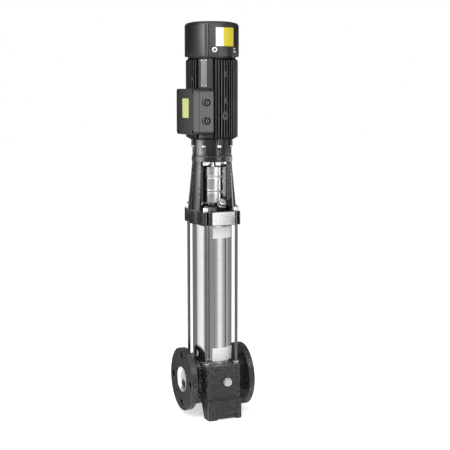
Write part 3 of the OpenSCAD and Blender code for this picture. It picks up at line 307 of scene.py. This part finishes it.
# the stool's light worn colour on every edge is a painted highlight along its edges as well as wear
stoolPaint = {**castPaint,
    "colour": (0.018, 0.018, 0.019), "hollowShade": (0.008, 0.008, 0.0085), "wearAndHighlight": 1.0,
    "wornAndHighlight": (0.42, 0.42, 0.41), "wearWidth": 0.002, "gloss": (0.14, 0.22), "depth": 0.0004}
motorPaint = {**castPaint,
    "colour": (0.013, 0.013, 0.014), "lump": 420.0, "grainShare": 0.3, "depth": 0.00035, "strength": 0.5,
    "gloss": (0.26, 0.4), "wearAndHighlight": 0.22, "edge": 0.0008, "wearWidth": 0.0008}
shieldPaint = {**motorPaint, "gloss": (0.14, 0.2), "depth": 0.0002}
# the light worn colour on the fins' and the cowl's edges is in part a painted highlight along them
finPaint = {**motorPaint, "colour": (0.015, 0.015, 0.016), "wearAndHighlight": 0.75, "wornAndHighlight": (0.2, 0.2, 0.2)}
cowlPaint = {**castPaint,
    "colour": (0.007, 0.007, 0.008), "hollowShade": (0.004, 0.004, 0.0045), "lump": 700.0, "depth": 0.00014,
    "strength": 0.4, "gloss": (0.14, 0.2), "wearAndHighlight": 0.8, "wornAndHighlight": (0.3, 0.3, 0.3), "edge": 0.0008,
    "wearWidth": 0.0012}
boxPaint = {**castPaint,
    "colour": (0.014, 0.015, 0.0145), "hollowShade": (0.009, 0.01, 0.0095), "lump": 520.0, "depth": 0.00012,
    "strength": 0.5, "gloss": (0.09, 0.14), "wearAndHighlight": 0.35, "edge": 0.0012}
sleeveSteel = {
    "colour": (0.84, 0.84, 0.85), "shade": (0.72, 0.72, 0.73), "wornAndHighlight": (0.9, 0.9, 0.9), "wearAndHighlight": 0.1,
    "wearWidth": 0.0006, "wearPatch": 120.0, "across": 1500.0, "along": 9.0, "patch": 6.0,
    "gloss": (0.09, 0.14), "depth": 0.00002, "strength": 0.15, "edge": 0.0}
linerSteel = {**sleeveSteel,
    "colour": (0.93, 0.94, 0.93), "shade": (0.86, 0.87, 0.86), "gloss": (0.38, 0.5)}
pressedSteel = {**sleeveSteel, "gloss": (0.26, 0.42), "across": 700.0, "along": 60.0, "patch": 20.0}
rodSteel = {**sleeveSteel,
    "colour": (0.3, 0.3, 0.305), "shade": (0.2, 0.2, 0.202), "gloss": (0.12, 0.2), "across": 40.0,
    "along": 900.0, "patch": 30.0}
zincSteel = {
    "colour": (0.82, 0.82, 0.83), "shade": (0.62, 0.63, 0.64), "wornAndHighlight": (0.93, 0.93, 0.93), "wearAndHighlight": 0.6,
    "wearWidth": 0.0005, "wearPatch": 120.0, "across": 300.0, "along": 300.0, "patch": 90.0,
    "gloss": (0.18, 0.34), "depth": 0.00012, "strength": 0.4, "edge": 0.0004}
couplingSteel = {
    "colour": (0.82, 0.82, 0.83), "shade": (0.62, 0.62, 0.63), "wornAndHighlight": (0.95, 0.95, 0.95), "wearAndHighlight": 0.9,
    "wearWidth": 0.0012, "wearPatch": 120.0, "across": 500.0, "along": 30.0, "patch": 40.0,
    "gloss": (0.2, 0.28), "depth": 0.00006, "strength": 0.3, "edge": 0.0008}
plugSteel = {**zincSteel,
    "colour": (0.95, 0.95, 0.95), "shade": (0.36, 0.36, 0.365), "across": 140.0, "along": 140.0,
    "gloss": (0.36, 0.5)}
shaftSteel = {**sleeveSteel, "gloss": (0.16, 0.28), "across": 900.0, "along": 20.0, "patch": 30.0}
coreIron = {
    "colour": (0.3, 0.3, 0.31), "shade": (0.14, 0.14, 0.145), "wornAndHighlight": (0.5, 0.5, 0.5), "wearAndHighlight": 0.3,
    "wearWidth": 0.0008, "wearPatch": 120.0, "across": 2000.0, "along": 2.0, "patch": 25.0,
    "gloss": (0.34, 0.5), "depth": 0.0002, "strength": 0.8, "edge": 0.0004}
copperWire = {**coreIron,
    "colour": (0.72, 0.3, 0.13), "shade": (0.34, 0.11, 0.04), "wornAndHighlight": (0.85, 0.5, 0.3), "across": 1100.0,
    "along": 900.0, "gloss": (0.25, 0.4)}
brassMetal = {**zincSteel,
    "colour": (0.8, 0.58, 0.25), "shade": (0.56, 0.38, 0.14), "wornAndHighlight": (0.9, 0.75, 0.45)}
rubberLook = {
    "colour": (0.018, 0.018, 0.019), "hollowShade": (0.01, 0.01, 0.01), "dustColour": (0.2, 0.19, 0.18),
    "dust": 0.2, "handPatch": 20.0, "gloss": (0.55, 0.75), "lump": 500.0, "grain": 1600.0,
    "grainShare": 0.6, "depth": 0.0002, "strength": 0.5, "edge": 0.0}
plasticLook = {**rubberLook,
    "colour": (0.02, 0.02, 0.021), "hollowShade": (0.012, 0.012, 0.0125), "gloss": (0.32, 0.48), "edge": 0.0006}
glandLook = {**plasticLook,
    "colour": (0.008, 0.008, 0.008), "hollowShade": (0.004, 0.004, 0.004), "gloss": (0.7, 0.9)}
# the grey of the gland rings: painted highlights on the gland plugs' rims and hubs
highlightRingLook = {**plasticLook,
    "colour": (0.2, 0.2, 0.2), "hollowShade": (0.12, 0.12, 0.12), "gloss": (0.12, 0.2)}
carbonLook = {**rubberLook,
    "colour": (0.05, 0.05, 0.052), "hollowShade": (0.03, 0.03, 0.031), "gloss": (0.3, 0.45)}
boardLook = {**rubberLook,
    "colour": (0.3, 0.09, 0.035), "hollowShade": (0.2, 0.055, 0.02), "gloss": (0.3, 0.5)}
whiteLook = {**rubberLook,
    "colour": (0.94, 0.94, 0.94), "hollowShade": (0.88, 0.88, 0.87), "dust": 0.05, "gloss": (0.3, 0.45),
    "depth": 0.00004, "strength": 0.3}
yellowLook = {**whiteLook, "colour": (0.66, 0.57, 0.015), "hollowShade": (0.58, 0.5, 0.012)}
paleLook = {**yellowLook, "colour": (0.6, 0.62, 0.24), "hollowShade": (0.52, 0.54, 0.2)}
plateLook = {**sleeveSteel,
    "colour": (0.93, 0.93, 0.93), "shade": (0.7, 0.7, 0.7), "gloss": (0.08, 0.16), "across": 900.0,
    "along": 120.0, "patch": 60.0}
# the motor plate's grey, in part a painted highlight on the flat pad it sits on
greyPlateAndHighlightLook = {**whiteLook, "colour": (0.19, 0.19, 0.192), "hollowShade": (0.15, 0.15, 0.152)}
darkScrewLook = {**zincSteel,
    "colour": (0.13, 0.13, 0.13), "shade": (0.07, 0.07, 0.07), "wornAndHighlight": (0.5, 0.5, 0.5)}
brightZinc = {**zincSteel, "shade": (0.75, 0.75, 0.75)}

finishes = {
    "castPaint": paintFinish("castPaint", castPaint),
    "headPaint": paintFinish("headPaint", headPaint),
    "stoolPaint": paintFinish("stoolPaint", stoolPaint),
    "motorPaint": paintFinish("motorPaint", motorPaint),
    "shieldPaint": paintFinish("shieldPaint", shieldPaint),
    "finPaint": paintFinish("finPaint", finPaint),
    "cowlPaint": paintFinish("cowlPaint", cowlPaint),
    "boxPaint": paintFinish("boxPaint", boxPaint),
    "sleeveSteel": metalFinish("sleeveSteel", sleeveSteel),
    "linerSteel": metalFinish("linerSteel", linerSteel),
    "pressedSteel": metalFinish("pressedSteel", pressedSteel),
    "rodSteel": metalFinish("rodSteel", rodSteel),
    "zincSteel": metalFinish("zincSteel", zincSteel),
    "plugSteel": metalFinish("plugSteel", plugSteel),
    "couplingSteel": metalFinish("couplingSteel", couplingSteel),
    "shaftSteel": metalFinish("shaftSteel", shaftSteel),
    "coreIron": metalFinish("coreIron", coreIron),
    "copperWire": metalFinish("copperWire", copperWire),
    "brassMetal": metalFinish("brassMetal", brassMetal),
    "rubber": softFinish("rubber", rubberLook),
    "blackPlastic": softFinish("blackPlastic", plasticLook),
    "glandPlastic": softFinish("glandPlastic", glandLook),
    "highlightRingGrey": softFinish("highlightRingGrey", highlightRingLook),
    "carbon": softFinish("carbon", carbonLook),
    "terminalBoard": softFinish("terminalBoard", boardLook),
    "labelWhite": softFinish("labelWhite", whiteLook),
    "labelYellow": softFinish("labelYellow", yellowLook),
    "labelPale": softFinish("labelPale", paleLook),
    "plateSteel": metalFinish("plateSteel", plateLook),
    "plateAndHighlightGrey": softFinish("plateAndHighlightGrey", greyPlateAndHighlightLook),
    "darkScrew": metalFinish("darkScrew", darkScrewLook),
    "brightZinc": metalFinish("brightZinc", brightZinc),
}

dressing = {
    "castPaint": ["base_casting"],
    "headPaint": ["pump_head", "seal_cover"],
    "stoolPaint": ["motor_stool"],
    "motorPaint": ["rear_end_shield"],
    "shieldPaint": ["drive_end_shield"],
    "finPaint": ["stator_housing"],
    "cowlPaint": ["fan_cowl"],
    "boxPaint": ["terminal_box", "box_lid"],
    "sleeveSteel": ["outer_sleeve"],
    "linerSteel": ["port_liners"],
    "pressedSteel": ["suction_chamber", "top_chamber"] + ["stage_chamber_%d" % i for i in range(1, 7)]
        + ["impeller_%d" % i for i in range(1, 7)],
    "rodSteel": ["tie_rods"],
    "zincSteel": ["rod_nuts", "rod_washers", "seal_screws", "vent_plug", "vent_head", "vent_needle",
        "coupling_screws", "flange_bolts", "shield_bolts", "lid_screws"],
    "plugSteel": ["drain_plug"],
    "darkScrew": ["cowl_screws"],
    "couplingSteel": ["coupling_front", "coupling_back"],
    "shaftSteel": ["pump_shaft", "motor_shaft", "stage_spacers", "shaft_nut", "seal_spring",
        "bearing_outer_rings", "bearing_inner_rings", "bearing_balls"],
    "coreIron": ["stator_core", "rotor_core"],
    "copperWire": ["stator_windings"],
    "brassMetal": ["terminal_studs"],
    "rubber": ["sleeve_o_rings", "lid_gasket"],
    "blackPlastic": ["cooling_fan"],
    "glandPlastic": ["gland_plugs"],
    "carbon": ["seal_seat", "seal_rotor"],
    "terminalBoard": ["terminal_block"],
}
for finish, members in dressing.items():
    for member in members:
        mesh = nodes[member].data
        mesh.materials.clear()
        mesh.materials.append(finishes[finish])
bare = sorted(set(nodes) - {m for members in dressing.values() for m in members})
print("materials given; nodes without one:", bare)


# pieces that the CAD leaves out: plates, labels, rivets, threads
def deselect():
    bpy.ops.object.select_all(action="DESELECT")


def applyAll(piece):
    deselect()
    piece.select_set(True)
    bpy.context.view_layer.objects.active = piece
    for modifier in list(piece.modifiers):
        bpy.ops.object.modifier_apply(modifier=modifier.name)


def settle(piece):
    # moves the object's place and turn into its mesh
    deselect()
    piece.select_set(True)
    bpy.context.view_layer.objects.active = piece
    bpy.ops.object.transform_apply(location=True, rotation=True, scale=True)


def dress(piece, name, finish, body):
    piece.name = name
    piece.data.name = name
    piece.data.materials.clear()
    piece.data.materials.append(finishes[finish])
    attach(piece, body)


def thicken(piece, thickness):
    solid = piece.modifiers.new("solid", "SOLIDIFY")
    solid.thickness = thickness
    solid.offset = 1.0
    edge = piece.modifiers.new("edge", "BEVEL")
    edge.width = thickness * 0.3
    edge.segments = 2
    edge.limit_method = "ANGLE"
    edge.angle_limit = math.radians(50)
    applyAll(piece)


def reach(name, axis):
    # the lowest and the highest coordinate of a CAD node along one axis
    values = [corner.co[axis] for corner in nodes[name].data.vertices]
    return min(values), max(values)


def plateSheet(width, height, corner):
    # an upright sheet that faces -Y, with rounded corners
    deselect()
    bpy.ops.mesh.primitive_plane_add(size=1, rotation=(math.pi / 2, 0, 0))
    sheet = bpy.context.object
    settle(sheet)
    bpy.ops.object.mode_set(mode="EDIT")
    bpy.ops.mesh.select_all(action="SELECT")
    bpy.ops.transform.resize(value=(width, 1, height))
    bpy.ops.mesh.bevel(offset=corner, segments=5, affect="VERTICES")
    bpy.ops.object.mode_set(mode="OBJECT")
    return sheet


plateBend = {"degreesPerCut": 2.5, "fewestCuts": 6}


def roundPlate(name, look):
    # a plate on a round wall; angles count from -Y towards +X
    sweep = math.radians(look["to"] - look["from"])
    width = sweep * look["radius"]
    sheet = plateSheet(width, look["top"] - look["bottom"], look["corner"])
    cuts = max(plateBend["fewestCuts"], int(math.degrees(sweep) / plateBend["degreesPerCut"]))
    bpy.ops.object.mode_set(mode="EDIT")
    for step in range(1, cuts):
        bpy.ops.mesh.select_all(action="SELECT")
        bpy.ops.mesh.bisect(plane_co=(width * (step / cuts - 0.5), 0, 0), plane_no=(1, 0, 0))
    bpy.ops.object.mode_set(mode="OBJECT")
    bend = sheet.modifiers.new("bend", "SIMPLE_DEFORM")
    bend.deform_method = "BEND"
    bend.deform_axis = "Z"
    bend.angle = sweep
    applyAll(sheet)
    sheet.location = (0, -look["radius"], 0)
    settle(sheet)
    sheet.rotation_euler = (0, 0, math.radians(look["to"] + look["from"]) / 2)
    sheet.location = (0, 0, (look["top"] + look["bottom"]) / 2)
    settle(sheet)
    thicken(sheet, look["thick"])
    dress(sheet, name, look["finish"], "pump")
    return sheet


def flatPlate(name, look):
    sheet = plateSheet(look["width"], look["height"], look["corner"])
    sheet.rotation_euler = (0, 0, math.radians(look["facing"]))
    sheet.location = look["place"]
    settle(sheet)
    thicken(sheet, look["thick"])
    dress(sheet, name, look["finish"], "pump")
    return sheet


def joinCopies(name, first, places, finish, body):
    # copies the finished first piece to each place, with a mesh of its own, and joins them
    copies = []
    for location, rotation in places:
        copy = first.copy()
        copy.data = first.data.copy()
        bpy.context.scene.collection.objects.link(copy)
        copy.location = location
        copy.rotation_euler = rotation
        settle(copy)
        copies.append(copy)
    bpy.data.objects.remove(first)
    deselect()
    for copy in copies:
        copy.select_set(True)
    bpy.context.view_layer.objects.active = copies[0]
    bpy.ops.object.join()
    dress(copies[0], name, finish, body)


def headBlank(radius, height, dome):
    # a low round head along -Y with a domed face
    deselect()
    bpy.ops.mesh.primitive_cylinder_add(
        vertices=32, radius=radius, depth=height, location=(0, -height / 2, 0),
        rotation=(math.pi / 2, 0, 0))
    head = bpy.context.object
    settle(head)
    bpy.ops.object.mode_set(mode="EDIT")
    bpy.ops.mesh.select_mode(type="FACE")
    bpy.ops.mesh.select_all(action="DESELECT")
    bpy.ops.object.mode_set(mode="OBJECT")
    for face in head.data.polygons:
        face.select = face.normal.y < -0.9
    bpy.ops.object.mode_set(mode="EDIT")
    bpy.ops.mesh.inset(thickness=radius * 0.45)
    bpy.ops.transform.translate(value=(0, -dome, 0))
    bpy.ops.object.mode_set(mode="OBJECT")
    edge = head.modifiers.new("edge", "BEVEL")
    edge.width = min(height, dome) * 0.4
    edge.segments = 3
    edge.angle_limit = math.radians(20)
    applyAll(head)
    bpy.ops.object.shade_smooth_by_angle(angle=math.radians(40))
    return head


def ringBlank(outer, inner, height):
    # a flat ring along -Y with eased edges
    deselect()
    bpy.ops.mesh.primitive_cylinder_add(
        vertices=48, radius=outer, depth=height, location=(0, -height / 2, 0),
        rotation=(math.pi / 2, 0, 0))
    ring = bpy.context.object
    settle(ring)
    for face in ring.data.polygons:
        face.select = abs(face.normal.y) > 0.9
    bpy.ops.object.mode_set(mode="EDIT")
    bpy.ops.mesh.select_mode(type="FACE")
    bpy.ops.mesh.inset(thickness=outer - inner)
    bpy.ops.mesh.bridge_edge_loops()
    bpy.ops.object.mode_set(mode="OBJECT")
    edge = ring.modifiers.new("edge", "BEVEL")
    edge.width = height * 0.25
    edge.segments = 2
    edge.angle_limit = math.radians(40)
    applyAll(ring)
    bpy.ops.object.shade_smooth_by_angle(angle=math.radians(40))
    return ring


def threadBlank(radius, pitch, turns):
    # a thread ridge that climbs round Z
    deselect()
    bpy.ops.mesh.primitive_circle_add(
        vertices=3, radius=pitch * 0.56, fill_type="NGON", location=(radius, 0, 0),
        rotation=(math.pi / 2, math.pi / 2, 0))
    coil = bpy.context.object
    settle(coil)
    screw = coil.modifiers.new("screw", "SCREW")
    screw.axis = "Z"
    screw.screw_offset = pitch
    screw.iterations = turns
    screw.steps = 28
    screw.render_steps = 28
    applyAll(coil)
    bpy.ops.object.mode_set(mode="EDIT")
    bpy.ops.mesh.select_all(action="SELECT")
    bpy.ops.mesh.remove_doubles(threshold=0.000001)
    bpy.ops.mesh.fill_holes(sides=3)
    bpy.ops.mesh.select_all(action="SELECT")
    bpy.ops.mesh.normals_make_consistent(inside=False)
    bpy.ops.object.mode_set(mode="OBJECT")
    return coil


def onWall(angle, radius, height):
    turn = math.radians(angle)
    return (radius * math.sin(turn), -radius * math.cos(turn), height), (0, 0, turn)


plateGap = 0.00005
sleeveRadius = reach("outer_sleeve", 0)[1]
cowlRadius = reach("fan_cowl", 0)[1]
sleeveTopPlate = {
    "from": -20.0, "to": 47.5, "radius": sleeveRadius + plateGap, "bottom": 0.469, "top": 0.4975,
    "corner": 0.0015, "thick": 0.0006, "finish": "labelWhite"}
sleeveFootPlate = {
    "from": -21.5, "to": 54.0, "radius": sleeveRadius + plateGap, "bottom": 0.1455, "top": 0.1805,
    "corner": 0.001, "thick": 0.0004, "finish": "labelWhite"}
cowlWhiteLabel = {
    "from": -13.6, "to": 3.0, "radius": cowlRadius + plateGap, "bottom": 0.9555, "top": 1.0015,
    "corner": 0.0006, "thick": 0.0003, "finish": "labelWhite"}
cowlYellowLabel = {
    "from": 3.1, "to": 29.5, "radius": cowlRadius + plateGap, "bottom": 0.9555, "top": 1.0015,
    "corner": 0.0006, "thick": 0.0003, "finish": "labelYellow"}
# a riveted grey plate above the terminal box; its light grey is in part a painted highlight on the flat pad
# there
motorPlate = {
    "from": -47.0, "to": -33.2, "radius": 0.0638, "bottom": 0.8545, "top": 0.9235, "corner": 0.0008,
    "thick": 0.0006, "finish": "plateAndHighlightGrey", "rivetTurn": 1.8, "rivetRise": 0.003}
roundPlate("sleeveTopPlate", sleeveTopPlate)
roundPlate("sleeveFootPlate", sleeveFootPlate)
roundPlate("cowlWhiteLabel", cowlWhiteLabel)
roundPlate("cowlYellowLabel", cowlYellowLabel)
roundPlate("motorPlate", motorPlate)

headFace = reach("motor_stool", 1)[0] - plateGap
headPlate = {
    "width": 0.0618, "height": 0.0325, "place": (0.0026, headFace, 0.5225), "facing": 0.0,
    "corner": 0.0012, "thick": 0.0008, "finish": "plateSteel", "rivetX": 0.0275, "rivetZ": 0.0125}
flatPlate("headPlate", headPlate)
lidFace = reach("box_lid", 0)[0] - plateGap
lidPlate = {
    "width": 0.044, "height": 0.049, "place": (lidFace, -0.005, 0.8015), "facing": -90.0,
    "corner": 0.004, "thick": 0.0003, "finish": "labelPale"}
flatPlate("lidPlate", lidPlate)

rivet = {"radius": 0.0014, "height": 0.0005, "dome": 0.0005}
plateX, plateY, plateZ = headPlate["place"]
rivets = []
for side in (-1, 1):
    for up in (-1, 1):
        corner = (plateX + side * headPlate["rivetX"], plateY - headPlate["thick"],
            plateZ + up * headPlate["rivetZ"])
        rivets.append((corner, (0, 0, 0)))
plateWall = motorPlate["radius"] + motorPlate["thick"]
rivetTurn = motorPlate["rivetTurn"]
rivetRise = motorPlate["rivetRise"]
for angle in (motorPlate["from"] + rivetTurn, motorPlate["to"] - rivetTurn):
    for height in (motorPlate["bottom"] + rivetRise, motorPlate["top"] - rivetRise):
        rivets.append(onWall(angle, plateWall, height))
joinCopies("plateRivets", headBlank(**rivet), rivets, "zincSteel", "pump")

cowlRing = {"outer": 0.0062, "inner": 0.0036, "height": 0.0005}
cowlScrews = {"turn": 8.0, "spread": 24.0, "stand": 0.00106, "z": 0.9465}
cowlRings = [
    onWall(back + cowlScrews["turn"] + side * cowlScrews["spread"], cowlRadius + cowlScrews["stand"],
        cowlScrews["z"])
    for back in (0, 180) for side in (-1, 1)]
joinCopies("cowlScrewRings", ringBlank(**cowlRing), cowlRings, "brightZinc", "pump")

glands = {"x": -0.038, "face": reach("gland_plugs", 1)[0], "heights": (0.7695, 0.8155)}
glandPlaces = [((glands["x"], glands["face"], height), (0, 0, 0)) for height in glands["heights"]]
# thin grey rings on the gland plugs' faces: painted highlights where their rims and hubs catch light
glandRimHighlight = {"outer": 0.0118, "inner": 0.0102, "height": 0.0003}
glandHubHighlight = {"outer": 0.0044, "inner": 0.0027, "height": 0.0003}
joinCopies("glandRims", ringBlank(**glandRimHighlight), glandPlaces, "highlightRingGrey", "pump")
joinCopies("glandHubs", ringBlank(**glandHubHighlight), glandPlaces, "highlightRingGrey", "pump")

# a bright ring round the sleeve's foot: a painted highlight for the light rim line where the sleeve meets
# the base
footRimHighlight = {"outer": sleeveRadius + 0.0008, "inner": sleeveRadius - plateGap, "height": 0.0016}
footRimPlace = ((0, 0, 0.1402), (-math.pi / 2, 0, 0))
joinCopies("sleeveFootHighlightRim", ringBlank(**footRimHighlight), [footRimPlace], "brightZinc", "pump")

rodThread = {"radius": 0.00378, "pitch": 0.00125, "turns": 2}
rods = {"x": 0.042, "y": 0.062, "threadZ": 0.5516}
rodTips = [
    ((side * rods["x"], back * rods["y"], rods["threadZ"]), (0, 0, 0))
    for side in (-1, 1) for back in (-1, 1)]
joinCopies("rodThreads", threadBlank(**rodThread), rodTips, "rodSteel", "pump")
print("plates, labels, rivets, rings and threads made")


# floor, light and camera
studio = {
    "floorSize": 30.0, "floorColour": (0.9, 0.9, 0.9, 1.0), "floorGlow": 0.55,
    "floorDrop": 0.0002, "skyLight": 0.55, "cardRadius": 0.88, "cardStep": 8.0, "aimHeight": 0.5}


def makeSky():
    world = bpy.data.worlds.new("studioSky")
    bpy.context.scene.world = world
    world.use_nodes = True
    tree = world.node_tree
    tree.nodes.clear()
    out = addNode(tree, "ShaderNodeOutputWorld")
    background = addNode(tree, "ShaderNodeBackground", {"Color": (1.0, 1.0, 1.0, 1.0)})
    path = addNode(tree, "ShaderNodeLightPath")
    seen = addNode(tree, "ShaderNodeMath", operation="MAXIMUM")
    link(tree, path.outputs["Is Camera Ray"], seen.inputs[0])
    link(tree, path.outputs["Is Glossy Ray"], seen.inputs[1])
    through = addNode(tree, "ShaderNodeMath", operation="MAXIMUM")
    link(tree, seen.outputs[0], through.inputs[0])
    link(tree, path.outputs["Is Transmission Ray"], through.inputs[1])
    strength = addNode(tree, "ShaderNodeMapRange", {"To Min": studio["skyLight"], "To Max": 1.0})
    link(tree, through.outputs[0], strength.inputs["Value"])
    link(tree, strength.outputs["Result"], background.inputs["Strength"])
    link(tree, background.outputs[0], out.inputs["Surface"])


def makeFloor():
    bpy.ops.object.select_all(action="DESELECT")
    bpy.ops.mesh.primitive_plane_add(size=studio["floorSize"], location=(0, 0, -studio["floorDrop"]))
    floor = bpy.context.object
    floor.name = "studioFloor"
    material = bpy.data.materials.new("studioFloor")
    material.use_nodes = True
    tree = material.node_tree
    tree.nodes.clear()
    out = addNode(tree, "ShaderNodeOutputMaterial")
    paper = addNode(tree, "ShaderNodeBsdfDiffuse", {"Color": studio["floorColour"]})
    glow = addNode(tree, "ShaderNodeEmission", {"Color": (1.0, 1.0, 1.0, 1.0)})
    path = addNode(tree, "ShaderNodeLightPath")
    share = addNode(tree, "ShaderNodeMath", operation="MULTIPLY")
    link(tree, path.outputs["Is Camera Ray"], share.inputs[0])
    share.inputs[1].default_value = studio["floorGlow"]
    link(tree, share.outputs[0], glow.inputs["Strength"])
    both = addNode(tree, "ShaderNodeAddShader")
    link(tree, paper.outputs[0], both.inputs[0])
    link(tree, glow.outputs[0], both.inputs[1])
    link(tree, both.outputs[0], out.inputs["Surface"])
    floor.data.materials.append(material)
    floor.visible_glossy = False


def glowAt(stops, angle):
    for before, after in zip(stops, stops[1:]):
        if before[0] <= angle <= after[0]:
            share = (angle - before[0]) / (after[0] - before[0])
            return before[1] + (after[1] - before[1]) * share
    return stops[-1][1]


def makeCards(name, low, high, stops):
    # a curved strip round the set that only reflections see; each stop is an angle, counted from
    # -Y towards +X, and the strip's glow there
    edges = [angle for angle, glow in stops]
    for before, after in zip(stops, stops[1:]):
        steps = int((after[0] - before[0]) / studio["cardStep"])
        edges += [before[0] + (after[0] - before[0]) * step / (steps + 1) for step in range(1, steps + 1)]
    edges.sort()
    deselect()
    bpy.ops.mesh.primitive_grid_add(x_subdivisions=len(edges) - 1, y_subdivisions=1, size=1)
    card = bpy.context.object
    card.name = name
    shine = card.data.attributes.new("glow", "FLOAT", "POINT")
    radius = studio["cardRadius"]
    for vertex in card.data.vertices:
        angle = edges[round((vertex.co.x + 0.5) * (len(edges) - 1))]
        shine.data[vertex.index].value = glowAt(stops, angle)
        turn = math.radians(angle)
        height = low + (vertex.co.y + 0.5) * (high - low)
        vertex.co = Vector((radius * math.sin(turn), -radius * math.cos(turn), height))
    material = bpy.data.materials.new(name)
    material.use_nodes = True
    tree = material.node_tree
    tree.nodes.clear()
    out = addNode(tree, "ShaderNodeOutputMaterial")
    strength = addNode(tree, "ShaderNodeAttribute", attribute_name="glow")
    tint = addNode(tree, "ShaderNodeEmission", {"Color": (1.0, 1.0, 1.0, 1.0)})
    link(tree, strength.outputs["Fac"], tint.inputs["Strength"])
    link(tree, tint.outputs[0], out.inputs["Surface"])
    card.data.materials.append(material)
    card.visible_camera = False
    card.visible_diffuse = False
    card.visible_shadow = False
    card.visible_transmission = False


def makeLamp(name, angle, distance, height, size, power):
    # a soft box that faces the pump's middle; angle counts from -Y towards +X
    lamp = bpy.data.lights.new(name, "AREA")
    lamp.shape = "RECTANGLE"
    lamp.size, lamp.size_y = size
    lamp.energy = power
    holder = bpy.data.objects.new(name, lamp)
    bpy.context.scene.collection.objects.link(holder)
    turn = math.radians(angle)
    holder.location = (distance * math.sin(turn), -distance * math.cos(turn), height)
    aim = Vector((0, 0, studio["aimHeight"])) - holder.location
    holder.rotation_euler = aim.to_track_quat("-Z", "Y").to_euler()
    holder.visible_glossy = False


makeSky()
makeFloor()
# each strip of cards: lowest and highest edge, then its stops
cardRows = {
    "cardBase": (-1.2, -0.095, [
        (-202, 1.2), (-176, 1.2), (-174, 0.1), (-146, 0.1), (-144, 1.5), (-125, 2.4), (-97, 2.6),
        (-95, 0.8), (-3, 0.6), (-2, 3.6), (9, 3.6), (11, 0.5), (33, 0.4), (35, 3.2), (46, 3.2), (47, 0.5),
        (98, 0.4), (158, 0.15)]),
    "cardSleeve": (-0.095, 0.395, [
        (-202, 0.2), (-124, 0.2), (-110, 0.9), (-80, 1.15), (-66, 0.6), (-45, 0.35), (-10, 0.3), (5, 0.45),
        (16, 1.05), (30, 1.0), (42, 0.5), (76, 0.45), (92, 0.25), (158, 0.25)]),
    "cardRing": (0.395, 0.441, [
        (-202, 0.05), (-138, 0.05), (-110, 0.8), (-60, 0.8), (-10, 0.5), (0, 1.3), (20, 1.3), (22.5, 0.15),
        (158, 0.2)]),
    "cardStool": (0.441, 0.622, [
        (-202, 0.5), (-122, 0.5), (-116, 3.0), (-84, 3.0), (-68, 2.0), (-60, 0.3), (-8, 0.3),
        (8, 0.7), (14, 1.1), (26, 1.1), (34, 0.4), (42, 0.2), (54, 0.3), (58, 3.5), (122, 3.5),
        (126, 0.15), (158, 0.15)]),
    "cardNeck": (0.622, 0.688, [
        (-202, 0.1), (-128, 0.3), (-110, 7.0), (-92, 15.0), (-76, 10.0), (-62, 3.0), (-50, 0.5), (0, 0.4),
        (8, 5.0), (20, 7.0), (34, 0.3), (158, 0.15)]),
    "cardMotor": (0.688, 0.96, [
        (-202, 0.0), (-157.2, 0.0), (-154, 0.5), (-130, 0.5), (-116, 1.2), (-96, 1.2), (-60, 0.9),
        (-58, 1.4),
        (-20, 1.4), (-18, 0.6), (8, 0.6), (9, 3.9), (44, 3.9), (46, 0.4), (69, 0.4), (71, 1.8), (110, 1.8),
        (112, 0.2), (158, 0.2)]),
    "cardCowl": (0.96, 2.4, [
        (-202, 0.08), (-125, 0.15), (-100, 0.6), (-80, 1.8), (-66, 4.5), (-50, 9.0), (-47, 1.8), (-15, 3.2),
        (15, 2.6), (35, 0.9), (70, 0.7), (90, 0.15), (158, 0.12)]),
}
for row, (low, high, stops) in cardRows.items():
    makeCards(row, low, high, stops)
makeLamp("softboxLeft", -88, 1.9, 1.0, (1.0, 2.4), 22)
makeLamp("softboxRight", 22, 1.9, 1.0, (0.4, 2.4), 9)
makeLamp("softboxTop", -30, 1.2, 2.6, (1.6, 1.2), 26)

view = {"place": (-0.989, -2.448, 0.836), "aim": (0.3833, 0.9148, -0.1271), "lens": 81.52}
cameraData = bpy.data.cameras.new("camera")
cameraData.lens = view["lens"]
cameraData.sensor_width = 36.0
camera = bpy.data.objects.new("camera", cameraData)
bpy.context.scene.collection.objects.link(camera)
camera.location = view["place"]
camera.rotation_euler = Vector(view["aim"]).to_track_quat("-Z", "Y").to_euler()
bpy.context.scene.camera = camera
bpy.context.scene.view_settings.view_transform = "Standard"
print("studio set")
